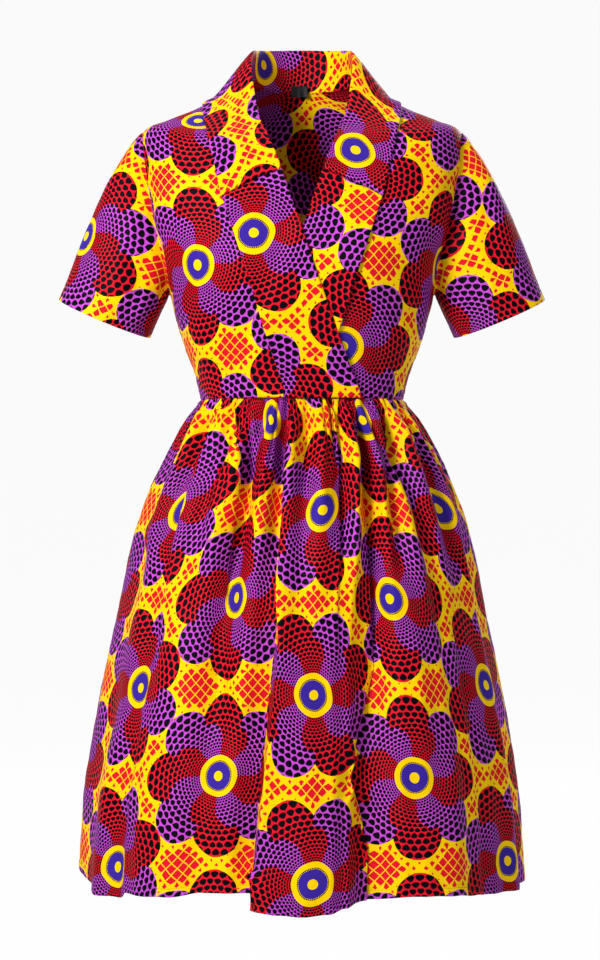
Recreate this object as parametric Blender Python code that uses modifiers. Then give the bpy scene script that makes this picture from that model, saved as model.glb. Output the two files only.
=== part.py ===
"""Short sleeve wrap dress in printed cotton, worn by nobody: hollow, upright and filled out.

Metres, +Z up, the front faces -Y and +X is the wearer's left. The origin is the middle of
the neck opening, at the height of the neck points, where a wearer's shoulders carry it.
"""

import math
from collections import namedtuple
from functools import cache

import bpy
import numpy as np
from mathutils import Vector
from mathutils.bvhtree import BVHTree

# Driving sizes of the cloth and of its seams.
CLOTH = 0.0012
SEAM_GAP = 0.0004
PLY = CLOTH + 0.0005
WRAP_RISE = 2 * PLY + 0.0008
WAIST_GAP = 0.0007

# The body of the dress is laid on one smooth form, a stack of tilted rings.
FormRing = namedtuple(
    "FormRing", "half_width side_z front_depth front_z back_depth back_z squareness"
)
FORM_RINGS = (
    FormRing(0.1252, -0.395, 0.0990, -0.395, 0.0880, -0.395, 0.08),
    FormRing(0.1325, -0.366, 0.1040, -0.364, 0.0890, -0.365, 0.09),
    FormRing(0.1465, -0.327, 0.1160, -0.324, 0.0930, -0.325, 0.11),
    FormRing(0.1570, -0.292, 0.1270, -0.285, 0.0980, -0.288, 0.14),
    FormRing(0.1640, -0.264, 0.1330, -0.250, 0.1020, -0.252, 0.18),
    FormRing(0.1720, -0.227, 0.1330, -0.214, 0.1050, -0.212, 0.22),
    FormRing(0.1840, -0.182, 0.1250, -0.176, 0.1070, -0.168, 0.25),
    FormRing(0.1930, -0.137, 0.1120, -0.140, 0.1060, -0.124, 0.25),
    FormRing(0.1985, -0.096, 0.0980, -0.108, 0.1010, -0.084, 0.22),
    FormRing(0.1975, -0.062, 0.0850, -0.084, 0.0930, -0.056, 0.18),
    FormRing(0.1690, -0.048, 0.0760, -0.074, 0.0850, -0.038, 0.14),
    FormRing(0.1240, -0.029, 0.0680, -0.066, 0.0770, -0.020, 0.08),
    FormRing(0.0680, 0.000, 0.0600, -0.058, 0.0680, 0.000, 0.00),
)
ARMPIT_RING, TIP_RING, NECK_RING = 4, 9, 12
LEVEL_RING = 1.5
BUST = dict(out=0.080, z=-0.228, rise=0.010, spread=0.047)

# How far round from the side each armhole edge runs, in degrees, from armpit to shoulder tip.
ARMHOLE_FRONT_DEG = (0.0, 9.5, 15.5, 17.5, 17.0, 15.0, 11.0, 0.0)
ARMHOLE_BACK_DEG = (0.0, 8.5, 14.0, 16.0, 16.0, 14.5, 11.0, 0.0)
# How far up the lower edge the armpit is, and how far up the whole edge the armhole's middle.
ARMPIT_SHARE, ARMHOLE_SHARE = 0.55, 0.6
COLLAR_RING = 11.1

# The wrap edge of the wearer's left front, seen from the front, from the neck to the waist.
WrapPoint = namedtuple("WrapPoint", "x z")
WRAP_EDGE = (
    WrapPoint(0.0680, 0.0000),
    WrapPoint(0.0650, -0.0210),
    WrapPoint(0.0585, -0.0420),
    WrapPoint(0.0430, -0.0780),
    WrapPoint(0.0280, -0.1180),
    WrapPoint(-0.0010, -0.2060),
    WrapPoint(-0.0274, -0.2810),
    WrapPoint(-0.0683, -0.3950),
)
GORGE_Z = -0.120
LAPEL_TIP = WrapPoint(0.0955, -0.1560)
LAPEL_FOOT = WrapPoint(0.0170, -0.3950)
LAPEL_ROWS = 11
WRAP_STEPS = 8 * LAPEL_ROWS
FRONT_OUTER_COLUMNS, FRONT_INNER_COLUMNS = 9, 8
LAPEL_FOLD_DEG = (90, 45)
# How far short of the under front's edge the over front starts to rise, and is all the way up.
OVER_START, OVER_FULL = 0.024, 0.004

# The search for a place on the form: its steps, its limits and when it is close enough.
SEARCH_STEPS, SEARCH_NUDGE, CLOSE_ENOUGH = 40, 0.001, 1e-7
MOST_TURN_STEP, MOST_RING_STEP, LEAST_TURN = 0.3, 1.0, 0.005
WRAP_START, LAPEL_START = (0.02, NECK_RING - 0.02), (1.0, 7.0)

BACK_COLUMNS, BACK_ROWS = 12, 15

# Half of the collar, from the centre back to the gorge seam on the chest.
CollarSection = namedtuple("CollarSection", "roll_x roll_y roll_z edge_x edge_y edge_z")
COLLAR_SECTIONS = (
    CollarSection(0.0000, 0.0740, 0.0550, 0.0000, 0.0960, -0.0220),
    CollarSection(0.0350, 0.0650, 0.0527, 0.0500, 0.0860, -0.0240),
    CollarSection(0.0540, 0.0400, 0.0480, 0.0930, 0.0500, -0.0260),
    CollarSection(0.0625, 0.0080, 0.0400, 0.1160, 0.0060, -0.0270),
    CollarSection(0.0640, -0.0160, 0.0150, 0.1190, -0.0220, -0.0420),
    CollarSection(0.0590, -0.0370, -0.0190, 0.1180, -0.0480, -0.0640),
    CollarSection(0.0515, -0.0560, -0.0480, 0.1135, -0.0660, -0.0820),
    CollarSection(0.0420, -0.0740, -0.0790, 0.1065, -0.0860, -0.1080),
    CollarSection(0.0275, -0.0960, -0.1185, 0.0960, -0.1060, -0.1540),
)
# How strongly the roll bends over into the fall, and the fall heads for its edge.
ROLL_SOFTNESS, ROLL_LEAD, EDGE_FOLLOW = 0.007, 2.0, 0.9
COLLAR_BACK_STEPS, COLLAR_FRONT_STEPS = 6, 8
STAND_STEPS, FALL_STEPS = 4, 6
COLLAR_CLEAR = PLY + 0.0008
GORGE_PULL_START = 0.55

# A set-in sleeve: its hem ring is tilted down and out from the shoulder.
SLEEVE_HEM_CENTRE = Vector((0.2460, -0.0040, -0.2930))
SLEEVE_TILT_DEG = 23.0
SLEEVE_HEM_HALF_WIDTH = 0.0615
SLEEVE_HEM_HALF_DEPTH = 0.0540
SLEEVE_FRONT_DROP = 0.0060
SLEEVE_SWELL = 0.45
SLEEVE_CLEAR = 0.0012
SLEEVE_COLUMNS, SLEEVE_ROWS = 28, 8

# The skirt: how wide and deep it hangs, at each height below the waist seam.
SkirtRing = namedtuple("SkirtRing", "drop half_width front_depth back_depth")
SKIRT_RINGS = (
    SkirtRing(0.000, 0.1252, 0.0990, 0.0880),
    SkirtRing(0.004, 0.1252, 0.0990, 0.0880),
    SkirtRing(0.019, 0.1350, 0.1100, 0.1000),
    SkirtRing(0.038, 0.1440, 0.1210, 0.1130),
    SkirtRing(0.075, 0.1640, 0.1400, 0.1390),
    SkirtRing(0.113, 0.1820, 0.1570, 0.1600),
    SkirtRing(0.150, 0.1960, 0.1690, 0.1740),
    SkirtRing(0.188, 0.2060, 0.1780, 0.1840),
    SkirtRing(0.263, 0.2210, 0.1900, 0.1970),
    SkirtRing(0.375, 0.2440, 0.2050, 0.2110),
    SkirtRing(0.488, 0.2620, 0.2180, 0.2220),
    SkirtRing(0.600, 0.2700, 0.2280, 0.2300),
)
SKIRT_ROWS = (0.0, 0.004, 0.013, 0.030, 0.056, 0.095, 0.150, 0.220, 0.300, 0.390, 0.490, 0.600)

# Folds of the skirt's front, from the wearer's left side seam to the right one. Each ridge,
# or valley where the rise is below 0, has its place as a share of the half width and its
# rise in millimetres, at hip, knee and hem level, and how much higher its hem hangs.
Fold = namedtuple("Fold", "hip knee hem hip_rise knee_rise hem_rise hem_lift")
FRONT_FOLDS = (
    Fold(1.000, 1.000, 1.000, 8, 8, 8, 3),
    Fold(0.965, 0.970, 0.975, -6, -2, -3, 4),
    Fold(0.920, 0.930, 0.940, 6, 5, 8, 5),
    Fold(0.860, 0.860, 0.870, -6, 1, -2, 7),
    Fold(0.780, 0.800, 0.800, 9, -1, -6, 9),
    Fold(0.670, 0.730, 0.740, -10, 4, 0, 12),
    Fold(0.600, 0.640, 0.620, 8, 11, 14, 18),
    Fold(0.555, 0.560, 0.520, -3, 10, 12, 20),
    Fold(0.500, 0.470, 0.430, 10, 3, 5, 20),
    Fold(0.440, 0.345, 0.270, -10, -13, -15, 12),
    Fold(0.370, 0.200, 0.170, 10, 4, 10, 7),
    Fold(0.230, 0.120, 0.100, -5, 12, 20, 5),
    Fold(0.120, 0.040, 0.000, 10, 15, 24, 4),
    Fold(0.030, -0.040, -0.100, -5, 14, 22, 5),
    Fold(-0.070, -0.100, -0.190, 10, 14, 20, 6),
    Fold(-0.135, -0.135, -0.225, -2, -4, -8, 30),
    Fold(-0.210, -0.260, -0.320, 10, 4, 0, 27),
    Fold(-0.340, -0.420, -0.420, -12, -13, -2, 24),
    Fold(-0.440, -0.550, -0.560, 8, 4, 12, 18),
    Fold(-0.560, -0.660, -0.670, -6, 8, 9, 15),
    Fold(-0.680, -0.720, -0.760, 12, 5, 0, 14),
    Fold(-0.780, -0.780, -0.830, -8, -7, -9, 4),
    Fold(-0.880, -0.870, -0.900, 8, 2, 6, 3),
    Fold(-0.955, -0.950, -0.960, -6, -2, -3, 10),
    Fold(-1.000, -1.000, -1.000, 8, 8, 8, 18),
)
FOLD_LEVELS = (0.060, 0.300, 0.600)
COLUMNS_PER_FOLD = 3
SEAM_FOLD_SHARE, FULL_FOLD_DROP = 0.14, 0.040
SKIRT_SQUARENESS, SQUARENESS_DROP = 0.05, 0.15

# Folds of the skirt's back. At each level they wander round by a slow wave, in radians.
# They rise and fall by turns, the hip's by more and less, and broad lobes grow below it.
BACK_FOLD_COUNT = 24
Wave = namedtuple("Wave", "size pace start")
BACK_WANDER = (Wave(0.030, 2.3, 0.0), Wave(0.040, 1.7, 1.0), Wave(0.045, 1.1, 2.0))
BackRise = namedtuple("BackRise", "by_turns lobe")
BACK_RISES = (BackRise(8, 0), BackRise(4, 10), BackRise(3, 14))
HIP_UNEVEN = Wave(3, 1.9, 0.0)
LOBE = Wave(1, 1.15, 0.5)
BACK_LIFT = Wave(0.005, 1.15, 0.0)

LABEL_SIZE = (0.021, 0.014)
LABEL_CENTRE = WrapPoint(-0.003, 0.0015)
LABEL_SET_IN = 0.0036
LABEL_THICKNESS = 0.0006
LABEL_COLUMNS, LABEL_ROWS = 6, 2

COLOURS = {
    "print": (0.63, 0.02, 0.05, 1.0),
    "label": (0.02, 0.018, 0.025, 1.0),
}
ROUGHNESS = 0.75


def spline(table, share):
    """The row of numbers at share 0 to 1 of a table, on a smooth curve through its rows."""
    rows = np.asarray(table, float)
    place = np.clip(share, 0.0, 1.0) * (len(rows) - 1)
    first = min(int(place), len(rows) - 2)
    step = place - first
    start, end = rows[first], rows[first + 1]
    before = rows[first - 1] if first > 0 else 2 * start - end
    after = rows[first + 2] if first + 2 < len(rows) else 2 * end - start
    lead, follow = (end - before) / 2, (after - start) / 2
    square, cube = step**2, step**3
    return (
        start * (2 * cube - 3 * square + 1)
        + lead * (cube - 2 * square + step)
        + end * (3 * square - 2 * cube)
        + follow * (cube - square)
    )


def smooth_step(value, low, high):
    """0 below low, 1 above high, and an even rise between."""
    share = min(max((value - low) / (high - low), 0.0), 1.0)
    return share * share * (3 - 2 * share)


def form_point(turn, ring):
    """A point of the form: turn is 0 at the wearer's left side, 90 degrees at the front
    and -90 at the back, in radians, and ring counts up from the waist."""
    row = FormRing(*spline(FORM_RINGS, ring / NECK_RING))
    across, ahead = math.cos(turn), math.sin(turn)
    depth, middle_z = (row.front_depth, row.front_z) if ahead > 0 else (row.back_depth, row.back_z)
    x = row.half_width * across * (1 + row.squareness * ahead**2)
    y = -depth * ahead * (1 + row.squareness * across**2)
    z = row.side_z * across**2 + middle_z * ahead**2
    if ahead > 0:
        reach = math.hypot(abs(x) - BUST["out"], z - BUST["z"]) / BUST["spread"]
        y -= BUST["rise"] * math.exp(-(reach**2)) * ahead
    return Vector((x, y, z))


def form_normal(turn, ring):
    """The outward direction of the form."""
    step = 0.002
    low, high = max(ring - step, 0.0), min(ring + step, NECK_RING)
    round_it = form_point(turn + step, ring) - form_point(turn - step, ring)
    up = form_point(turn, high) - form_point(turn, low)
    return up.cross(round_it).normalized()


def raised(turn, ring, height):
    """A point at that height over the form. At the waist seam it moves out level."""
    outward = form_normal(turn, ring)
    outward.z *= smooth_step(ring, 0.0, LEVEL_RING)
    return form_point(turn, ring) + outward.normalized() * height


def turn_and_ring(x, z, start):
    """Where on the front of the form a point seen at x, z lies, searched from start."""
    turn, ring = start
    for _ in range(SEARCH_STEPS):
        here = form_point(turn, ring)
        miss = np.array([x - here.x, z - here.z])
        if np.abs(miss).max() < CLOSE_ENOUGH:
            break
        by_turn = (form_point(turn + SEARCH_NUDGE, ring) - here) / SEARCH_NUDGE
        by_ring = (form_point(turn, ring - SEARCH_NUDGE) - here) / -SEARCH_NUDGE
        slopes = np.array([[by_turn.x, by_ring.x], [by_turn.z, by_ring.z]])
        change = np.linalg.lstsq(slopes, miss, rcond=None)[0]
        turn_step = np.clip(change[0], -MOST_TURN_STEP, MOST_TURN_STEP)
        ring_step = np.clip(change[1], -MOST_RING_STEP, MOST_RING_STEP)
        turn = max(turn + float(turn_step), LEAST_TURN)
        ring = float(np.clip(ring + ring_step, 0.0, NECK_RING))
    return turn, ring


@cache
def wrap_places():
    """Places on the form along the wrap edge, from the neck point to the waist."""
    found = []
    place = WRAP_START
    for index in range(WRAP_STEPS + 1):
        x, z = spline(WRAP_EDGE, index / WRAP_STEPS)
        place = turn_and_ring(x, z, place)
        found.append(place)
    found[0] = (0.0, NECK_RING)
    return found


def gorge_step():
    """The number of the wrap edge's place at the gorge seam."""
    return next(i for i, place in enumerate(wrap_places()) if form_point(*place).z <= GORGE_Z)


def along(places, share):
    """The place at that share of a list of places, straight between neighbours."""
    spot = np.clip(share, 0.0, 1.0) * (len(places) - 1)
    first = min(int(spot), len(places) - 2)
    start, end = np.array(places[first]), np.array(places[first + 1])
    return start + (end - start) * (spot - first)


def patch(left, right, bottom, top, columns, rows):
    """A grid of places filled in between four edges, each a function of a share from 0 to 1."""
    grid = []
    for row in range(rows + 1):
        q = row / rows
        line = []
        for column in range(columns + 1):
            s = column / columns
            sides = (1 - s) * left(q) + s * right(q)
            ends = (1 - q) * bottom(s) + q * top(s)
            low = (1 - s) * bottom(0.0) + s * bottom(1.0)
            high = (1 - s) * top(0.0) + s * top(1.0)
            line.append(sides + ends - (1 - q) * low - q * high)
        grid.append(line)
    return grid


def armhole(share, degrees):
    """A place on an armhole edge, from the armpit at 0 to the shoulder tip at 1."""
    rise = (1 - math.cos(math.pi * share)) / 2
    ring = ARMPIT_RING + (TIP_RING - ARMPIT_RING) * rise
    turn = math.radians(float(spline([[d] for d in degrees], share)[0]))
    return np.array((turn, ring))


def lower_edge(share, degrees):
    """The side seam and then the lower half of the armhole, from the waist up."""
    if share < ARMPIT_SHARE:
        return np.array((0.0, ARMPIT_RING * share / ARMPIT_SHARE))
    return armhole((share - ARMPIT_SHARE) / (1 - ARMPIT_SHARE) / 2, degrees)


def outer_edge(share, degrees):
    """The side seam and the whole armhole edge, from the waist up to the shoulder tip."""
    if share < ARMHOLE_SHARE:
        return lower_edge(share / ARMHOLE_SHARE, degrees)
    return armhole(0.5 + (share - ARMHOLE_SHARE) / (1 - ARMHOLE_SHARE) / 2, degrees)


def shoulder_edge(share):
    """The shoulder seam, from the tip to the neck."""
    return np.array((0.0, TIP_RING + (NECK_RING - TIP_RING) * share))


def straight(start, end):
    """A straight line between two places, as a function of the share."""
    return lambda share: np.array(start) * (1 - share) + np.array(end) * share


FrontPlaces = namedtuple("FrontPlaces", "lower_outer lower_inner upper_outer upper_inner")


def front_places():
    """Places of the wearer's left front in four patches, which meet at the lapel's tip.
    The lower inner one lies under the lapel and the upper inner one under the collar."""
    wrap, edge = wrap_places(), lapel_edge()
    roll, neckline = wrap[gorge_step() :], wrap[: gorge_step() + 1]
    foot, tip = edge[-1], edge[0]
    corner = armhole(0.5, ARMHOLE_FRONT_DEG)
    collar_end = np.array((0.0, COLLAR_RING))
    lower_outer = patch(
        lambda q: lower_edge(q, ARMHOLE_FRONT_DEG),
        lambda q: along(edge, 1 - q),
        straight((0.0, 0.0), foot),
        straight(corner, tip),
        FRONT_OUTER_COLUMNS,
        LAPEL_ROWS,
    )
    lower_inner = patch(
        lambda q: along(edge, 1 - q),
        lambda q: along(roll, 1 - q),
        straight(foot, roll[-1]),
        straight(tip, roll[0]),
        FRONT_INNER_COLUMNS,
        LAPEL_ROWS,
    )
    upper_outer = patch(
        lambda q: armhole(0.5 + q / 2, ARMHOLE_FRONT_DEG),
        straight(tip, collar_end),
        straight(corner, tip),
        straight((0.0, TIP_RING), collar_end),
        FRONT_OUTER_COLUMNS,
        COLLAR_FRONT_STEPS,
    )
    upper_inner = patch(
        straight(tip, collar_end),
        lambda q: along(neckline, 1 - q),
        straight(tip, roll[0]),
        straight(collar_end, (0.0, NECK_RING)),
        FRONT_INNER_COLUMNS,
        COLLAR_FRONT_STEPS,
    )
    return FrontPlaces(lower_outer, lower_inner, upper_outer, upper_inner)


def joined(front):
    """The four patches of a front as one grid."""
    lower = [a + b[1:] for a, b in zip(front.lower_outer, front.lower_inner)]
    upper = [a + b[1:] for a, b in zip(front.upper_outer, front.upper_inner)]
    return lower + upper[1:]


def back_places():
    """Places of half of the back, from the side to the centre back."""
    shoulder_share = 1 - COLLAR_BACK_STEPS / BACK_COLUMNS

    def top(s):
        if s < shoulder_share:
            return shoulder_edge(s / shoulder_share)
        share = (s - shoulder_share) / (1 - shoulder_share)
        return np.array((-math.pi / 2 * share, NECK_RING))

    def side(q):
        turn, ring = outer_edge(q, ARMHOLE_BACK_DEG)
        return np.array((-turn, ring))

    return patch(
        side,
        lambda q: np.array((-math.pi / 2, NECK_RING * q)),
        lambda s: np.array((-math.pi / 2 * s, 0.0)),
        top,
        BACK_COLUMNS,
        BACK_ROWS,
    )


def lapel_edge():
    """The places of a lapel's free edge, from its tip down to the waist."""
    place = LAPEL_START
    edge = []
    for index in range(LAPEL_ROWS + 1):
        share = index / LAPEL_ROWS
        x = LAPEL_TIP.x + (LAPEL_FOOT.x - LAPEL_TIP.x) * share
        z = LAPEL_TIP.z + (LAPEL_FOOT.z - LAPEL_TIP.z) * share
        place = turn_and_ring(x, z, place)
        edge.append(place)
    return edge


def wrap_x(z):
    """How far the wrap edge of the wearer's left front stands to the left at a height."""
    heights = [point.z for point in reversed(WRAP_EDGE)]
    return float(np.interp(z, heights, [point.x for point in reversed(WRAP_EDGE)]))


def over_height(point):
    """How far the wearer's right front rises to pass over the left front and its lapel.
    The point is mirrored, as that front is made on the left and then turned over."""
    past = -point.x - wrap_x(point.z)
    return WRAP_RISE * smooth_step(past, -OVER_START, -OVER_FULL)


def mirrored(grid):
    """The grid turned over from the wearer's left to the right."""
    return [[Vector((-p.x, p.y, p.z)) for p in line] for line in grid]


def surface(name, grid, closed=False, flipped=False):
    """An open sheet of four-sided faces through a grid of points."""
    rows, columns = len(grid), len(grid[0])
    points = [tuple(p) for line in grid for p in line]
    faces = []
    for row in range(rows - 1):
        for column in range(columns if closed else columns - 1):
            beside = (column + 1) % columns
            face = [
                row * columns + column,
                row * columns + beside,
                (row + 1) * columns + beside,
                (row + 1) * columns + column,
            ]
            faces.append(face[::-1] if flipped else face)
    mesh = bpy.data.meshes.new(name)
    mesh.from_pydata(points, [], faces)
    mesh.shade_smooth()
    return bpy.data.objects.new(name, mesh)


def cloth(name, grid, closed=False, flipped=False, thickness=CLOTH, side=1.0):
    """A piece of cloth: a sheet with a Solidify wall on its outer side, or inner for -1."""
    piece = surface(name, grid, closed, flipped)
    wall = piece.modifiers.new("Wall", "SOLIDIFY")
    wall.thickness = thickness
    wall.offset = side
    wall.use_even_offset = False
    wall.use_quality_normals = True
    piece.data.materials.append(material("print"))
    bpy.data.collections["Dress"].objects.link(piece)
    return piece


def material(name):
    """A plain finish for a piece, made once."""
    made = bpy.data.materials.get(name)
    if made is None:
        made = bpy.data.materials.new(name)
        made.use_nodes = True
        shader = made.node_tree.nodes["Principled BSDF"]
        shader.inputs["Base Color"].default_value = COLOURS[name]
        shader.inputs["Roughness"].default_value = ROUGHNESS
    return made


def inset(places, gap):
    """Draws the edge of a grid of places in by about that gap, so that seams stay apart."""
    grid = [[np.array(place, float) for place in line] for line in places]
    spots = [[form_point(*place) for place in line] for line in grid]

    def drawn(edge, inner, edge_spot, inner_spot):
        length = (edge_spot - inner_spot).length
        return edge + (inner - edge) * (gap / max(length, gap))

    for row in range(len(grid)):
        line, spot = grid[row], spots[row]
        line[0] = drawn(line[0], line[1], spot[0], spot[1])
        line[-1] = drawn(line[-1], line[-2], spot[-1], spot[-2])
    for column in range(len(grid[0])):
        for edge, inner in ((0, 1), (-1, -2)):
            grid[edge][column] = drawn(
                grid[edge][column],
                grid[inner][column],
                spots[edge][column],
                spots[inner][column],
            )
    return grid


def build_fronts(front):
    """Both fronts. The wearer's right one wraps over the left one and its lapel."""
    places = inset(joined(front), SEAM_GAP / 2)
    left = [[raised(*place, 0.0) for place in line] for line in places]
    cloth("front_left", left, flipped=True)
    right = []
    for line in places:
        right.append([raised(*place, over_height(form_point(*place))) for place in line])
    cloth("front_right", mirrored(right))


def build_back():
    """The back, cut in one piece from side seam to side seam."""
    half = inset(back_places(), SEAM_GAP / 2)
    grid = []
    for line in half:
        left = [form_point(*place) for place in line]
        left[-1] = form_point(-math.pi / 2, line[-1][1])
        right = [Vector((-p.x, p.y, p.z)) for p in left[:-1]]
        grid.append(left + right[::-1])
    cloth("back", grid)


def lapel_grid(front, over):
    """A lapel, made from the points of the front that it lies on, and moved out."""
    grid = []
    for places in inset(front.lower_inner, SEAM_GAP):
        line = []
        for place in reversed(places):
            height = over_height(form_point(*place)) if over else 0.0
            line.append(raised(*place, PLY + height))
        grid.append(rolled(line))
    return grid


def build_lapels(front):
    """Both lapels, each folded back over the edge of its front."""
    cloth("lapel_left", lapel_grid(front, over=False))
    cloth("lapel_right", mirrored(lapel_grid(front, over=True)), flipped=True)


def rolled(line):
    """A row of lapel points with its fold added, which turns down past the front's edge."""
    outward = (line[0] - line[1]).normalized()
    down = Vector((0, 1, 0))
    down = (down - outward * down.dot(outward)).normalized()
    fold = []
    for angle in LAPEL_FOLD_DEG:
        across, under = math.sin(math.radians(angle)), 1 - math.cos(math.radians(angle))
        fold.append(line[0] + outward * PLY * across + down * PLY * under)
    return fold + line


def form_tree():
    """The whole form as a search tree, to keep loose cloth clear of it."""
    turns, rings = 96, 72
    points, faces = [], []
    for row in range(rings + 1):
        for column in range(turns):
            points.append(form_point(2 * math.pi * column / turns, NECK_RING * row / rings))
    for row in range(rings):
        for column in range(turns):
            beside = (column + 1) % turns
            faces.append(
                (
                    row * turns + column,
                    (row + 1) * turns + column,
                    (row + 1) * turns + beside,
                    row * turns + beside,
                )
            )
    return BVHTree.FromPolygons(points, faces)


def kept_clear(point, tree, height):
    """The point, moved out where it is lower than that height over the form."""
    spot, normal, _, _ = tree.find_nearest(point)
    if (point - spot).dot(normal) < height:
        return spot + normal * height
    return point


def neck_seam(share):
    """A point of the neck seam, from the centre back at 0 to the gorge at 1."""
    back_share = COLLAR_BACK_STEPS / (COLLAR_BACK_STEPS + COLLAR_FRONT_STEPS)
    if share < back_share:
        turn = -math.pi / 2 * (1 - share / back_share)
        point = form_point(turn, NECK_RING)
        return point - Vector((point.x, point.y, 0)).normalized() * SEAM_GAP
    share = (share - back_share) / (1 - back_share)
    point = form_point(*along(wrap_places()[: gorge_step() + 1], share))
    return point - Vector((1, 0, 0)) * (SEAM_GAP + PLY * share)


def collar_line(share):
    """One section of the collar: up the stand, over the roll and down the fall."""
    row = CollarSection(*spline(COLLAR_SECTIONS, share))
    seam = neck_seam(share)
    roll = Vector((row.roll_x, row.roll_y, row.roll_z))
    edge = Vector((row.edge_x, row.edge_y, row.edge_z))
    flat = Vector((edge.x - roll.x, edge.y - roll.y, 0.0)).normalized()
    softness = min(ROLL_SOFTNESS, (roll - seam).length)
    line = []
    for step in range(STAND_STEPS):
        part = step / STAND_STEPS
        line.append(hermite(seam, roll - seam, roll, flat * softness, part))
    lead, follow = flat * softness * ROLL_LEAD, (edge - roll) * EDGE_FOLLOW
    for step in range(FALL_STEPS + 1):
        line.append(hermite(roll, lead, edge, follow, step / FALL_STEPS))
    return line


def hermite(start, lead, end, follow, share):
    """A point on the curve from start to end that leaves and arrives along lead and follow."""
    square, cube = share**2, share**3
    return (
        start * (2 * cube - 3 * square + 1)
        + lead * (cube - 2 * square + share)
        + end * (3 * square - 2 * cube)
        + follow * (cube - square)
    )


def build_collar(front):
    """The collar, one cloth from gorge to gorge round the back of the neck. Its ends are
    drawn to the top edges of the lapels, and its fall stays clear of what it lies on."""
    tree = form_tree()
    steps = COLLAR_BACK_STEPS + COLLAR_FRONT_STEPS
    half = [collar_line(step / steps) for step in range(steps + 1)]
    lapel = lapel_grid(front, over=False)
    target = []
    for top, below in zip(lapel[-1], lapel[-2]):
        target.append(top + (top - below).normalized() * 2 * SEAM_GAP)
    changes = [end - point for end, point in zip(target, half[-1])]
    for step, line in enumerate(half[:-1]):
        pull = smooth_step(step / steps, GORGE_PULL_START, 1.0)
        line = [point + change * pull for point, change in zip(line, changes)]
        half[step] = line[:1] + [kept_clear(point, tree, COLLAR_CLEAR) for point in line[1:]]
    half[-1] = target
    other = [[Vector((-p.x, p.y, p.z)) for p in line] for line in half[1:]]
    cloth("collar", other[::-1] + half, flipped=True)


def sleeve_grid():
    """The wearer's left sleeve, from the armhole to its hem."""
    tilt = math.radians(SLEEVE_TILT_DEG)
    axis = Vector((math.sin(tilt), 0, -math.cos(tilt)))
    wide = Vector((math.cos(tilt), 0, math.sin(tilt)))
    ahead = Vector((0, -1, 0))
    grid = []
    for row in range(SLEEVE_ROWS + 1):
        down = row / SLEEVE_ROWS
        line = []
        for column in range(SLEEVE_COLUMNS):
            angle = 2 * math.pi * column / SLEEVE_COLUMNS
            top = cap_point(angle)
            hem = (
                SLEEVE_HEM_CENTRE
                + wide * SLEEVE_HEM_HALF_WIDTH * math.cos(angle)
                + ahead * SLEEVE_HEM_HALF_DEPTH * math.sin(angle)
                + axis * SLEEVE_FRONT_DROP * math.sin(angle)
            )
            length = (hem - top).length
            lead = axis + Vector((SLEEVE_SWELL, 0, 0)) * math.cos(angle / 2) ** 2
            lead += ahead * SLEEVE_SWELL * math.sin(angle)
            line.append(hermite(top, lead.normalized() * length, hem, axis * length, down))
        grid.append(line)
    return grid


def cap_point(angle):
    """A point of the sleeve cap's seam: 0 is the shoulder tip, 180 degrees the armpit."""
    if angle <= math.pi:
        turn, ring = armhole(1 - angle / math.pi, ARMHOLE_FRONT_DEG)
    else:
        turn, ring = armhole(angle / math.pi - 1, ARMHOLE_BACK_DEG)
        turn = -turn
    point = form_point(turn, ring) + form_normal(turn, ring) * SLEEVE_CLEAR
    return point + Vector((SLEEVE_CLEAR, 0, 0))


def build_sleeves():
    """Both short sleeves, open at the armhole and at the hem."""
    left = sleeve_grid()
    cloth("sleeve_left", left, closed=True, side=-1.0)
    cloth("sleeve_right", mirrored(left), closed=True, flipped=True, side=-1.0)


SkirtFold = namedtuple("SkirtFold", "turn rise lift")


def wave(values, index):
    """A wave's height at a fold of the back."""
    return values.size * math.sin(values.pace * index + values.start)


def skirt_folds(drop):
    """The folds round the skirt at a height: where they are, from the wearer's left side
    through the front and back again, how far they stand out and how high their hem hangs."""
    folds = []
    for fold in FRONT_FOLDS:
        turn = math.acos(float(np.interp(drop, FOLD_LEVELS, (fold.hip, fold.knee, fold.hem))))
        rises = (fold.hip_rise, fold.knee_rise, fold.hem_rise)
        rise = float(np.interp(drop, FOLD_LEVELS, rises)) / 1000
        folds.append(SkirtFold(turn, rise, fold.hem_lift / 1000))
    first, last = folds[-1], folds[0]
    for index in range(1, BACK_FOLD_COUNT):
        share = index / BACK_FOLD_COUNT
        shifts = [wave(wander, index) for wander in BACK_WANDER]
        turn = math.pi * (1 + share) + float(np.interp(drop, FOLD_LEVELS, shifts))
        sign = 1 if index % 2 == 0 else -1
        rises = [sign * level.by_turns + level.lobe * wave(LOBE, index) for level in BACK_RISES]
        rises[0] += sign * wave(HIP_UNEVEN, index)
        rise = float(np.interp(drop, FOLD_LEVELS, rises)) / 1000
        lift = first.lift + (last.lift - first.lift) * share + wave(BACK_LIFT, index)
        folds.append(SkirtFold(turn, rise, lift))
    folds.append(SkirtFold(2 * math.pi, last.rise, last.lift))
    return folds


def skirt_point(fold, drop):
    """A point of the skirt at a height below the waist, moved out by the fold's rise."""
    drops = [ring.drop for ring in SKIRT_RINGS]
    half_width = float(np.interp(drop, drops, [ring.half_width for ring in SKIRT_RINGS]))
    across, ahead = math.cos(fold.turn), math.sin(fold.turn)
    depths = [r.front_depth if ahead > 0 else r.back_depth for r in SKIRT_RINGS]
    depth = float(np.interp(drop, drops, depths))
    waist = FORM_RINGS[0]
    change = smooth_step(drop, 0.0, SQUARENESS_DROP)
    squareness = waist.squareness + (SKIRT_SQUARENESS - waist.squareness) * change
    x = half_width * across * (1 + squareness * ahead**2)
    y = -depth * ahead * (1 + squareness * across**2)
    outward = Vector((across * depth, -ahead * half_width, 0)).normalized()
    lift = fold.lift * (drop / SKIRT_ROWS[-1]) ** 2
    return Vector((x, y, waist.side_z - WAIST_GAP - drop + lift)) + outward * fold.rise


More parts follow.
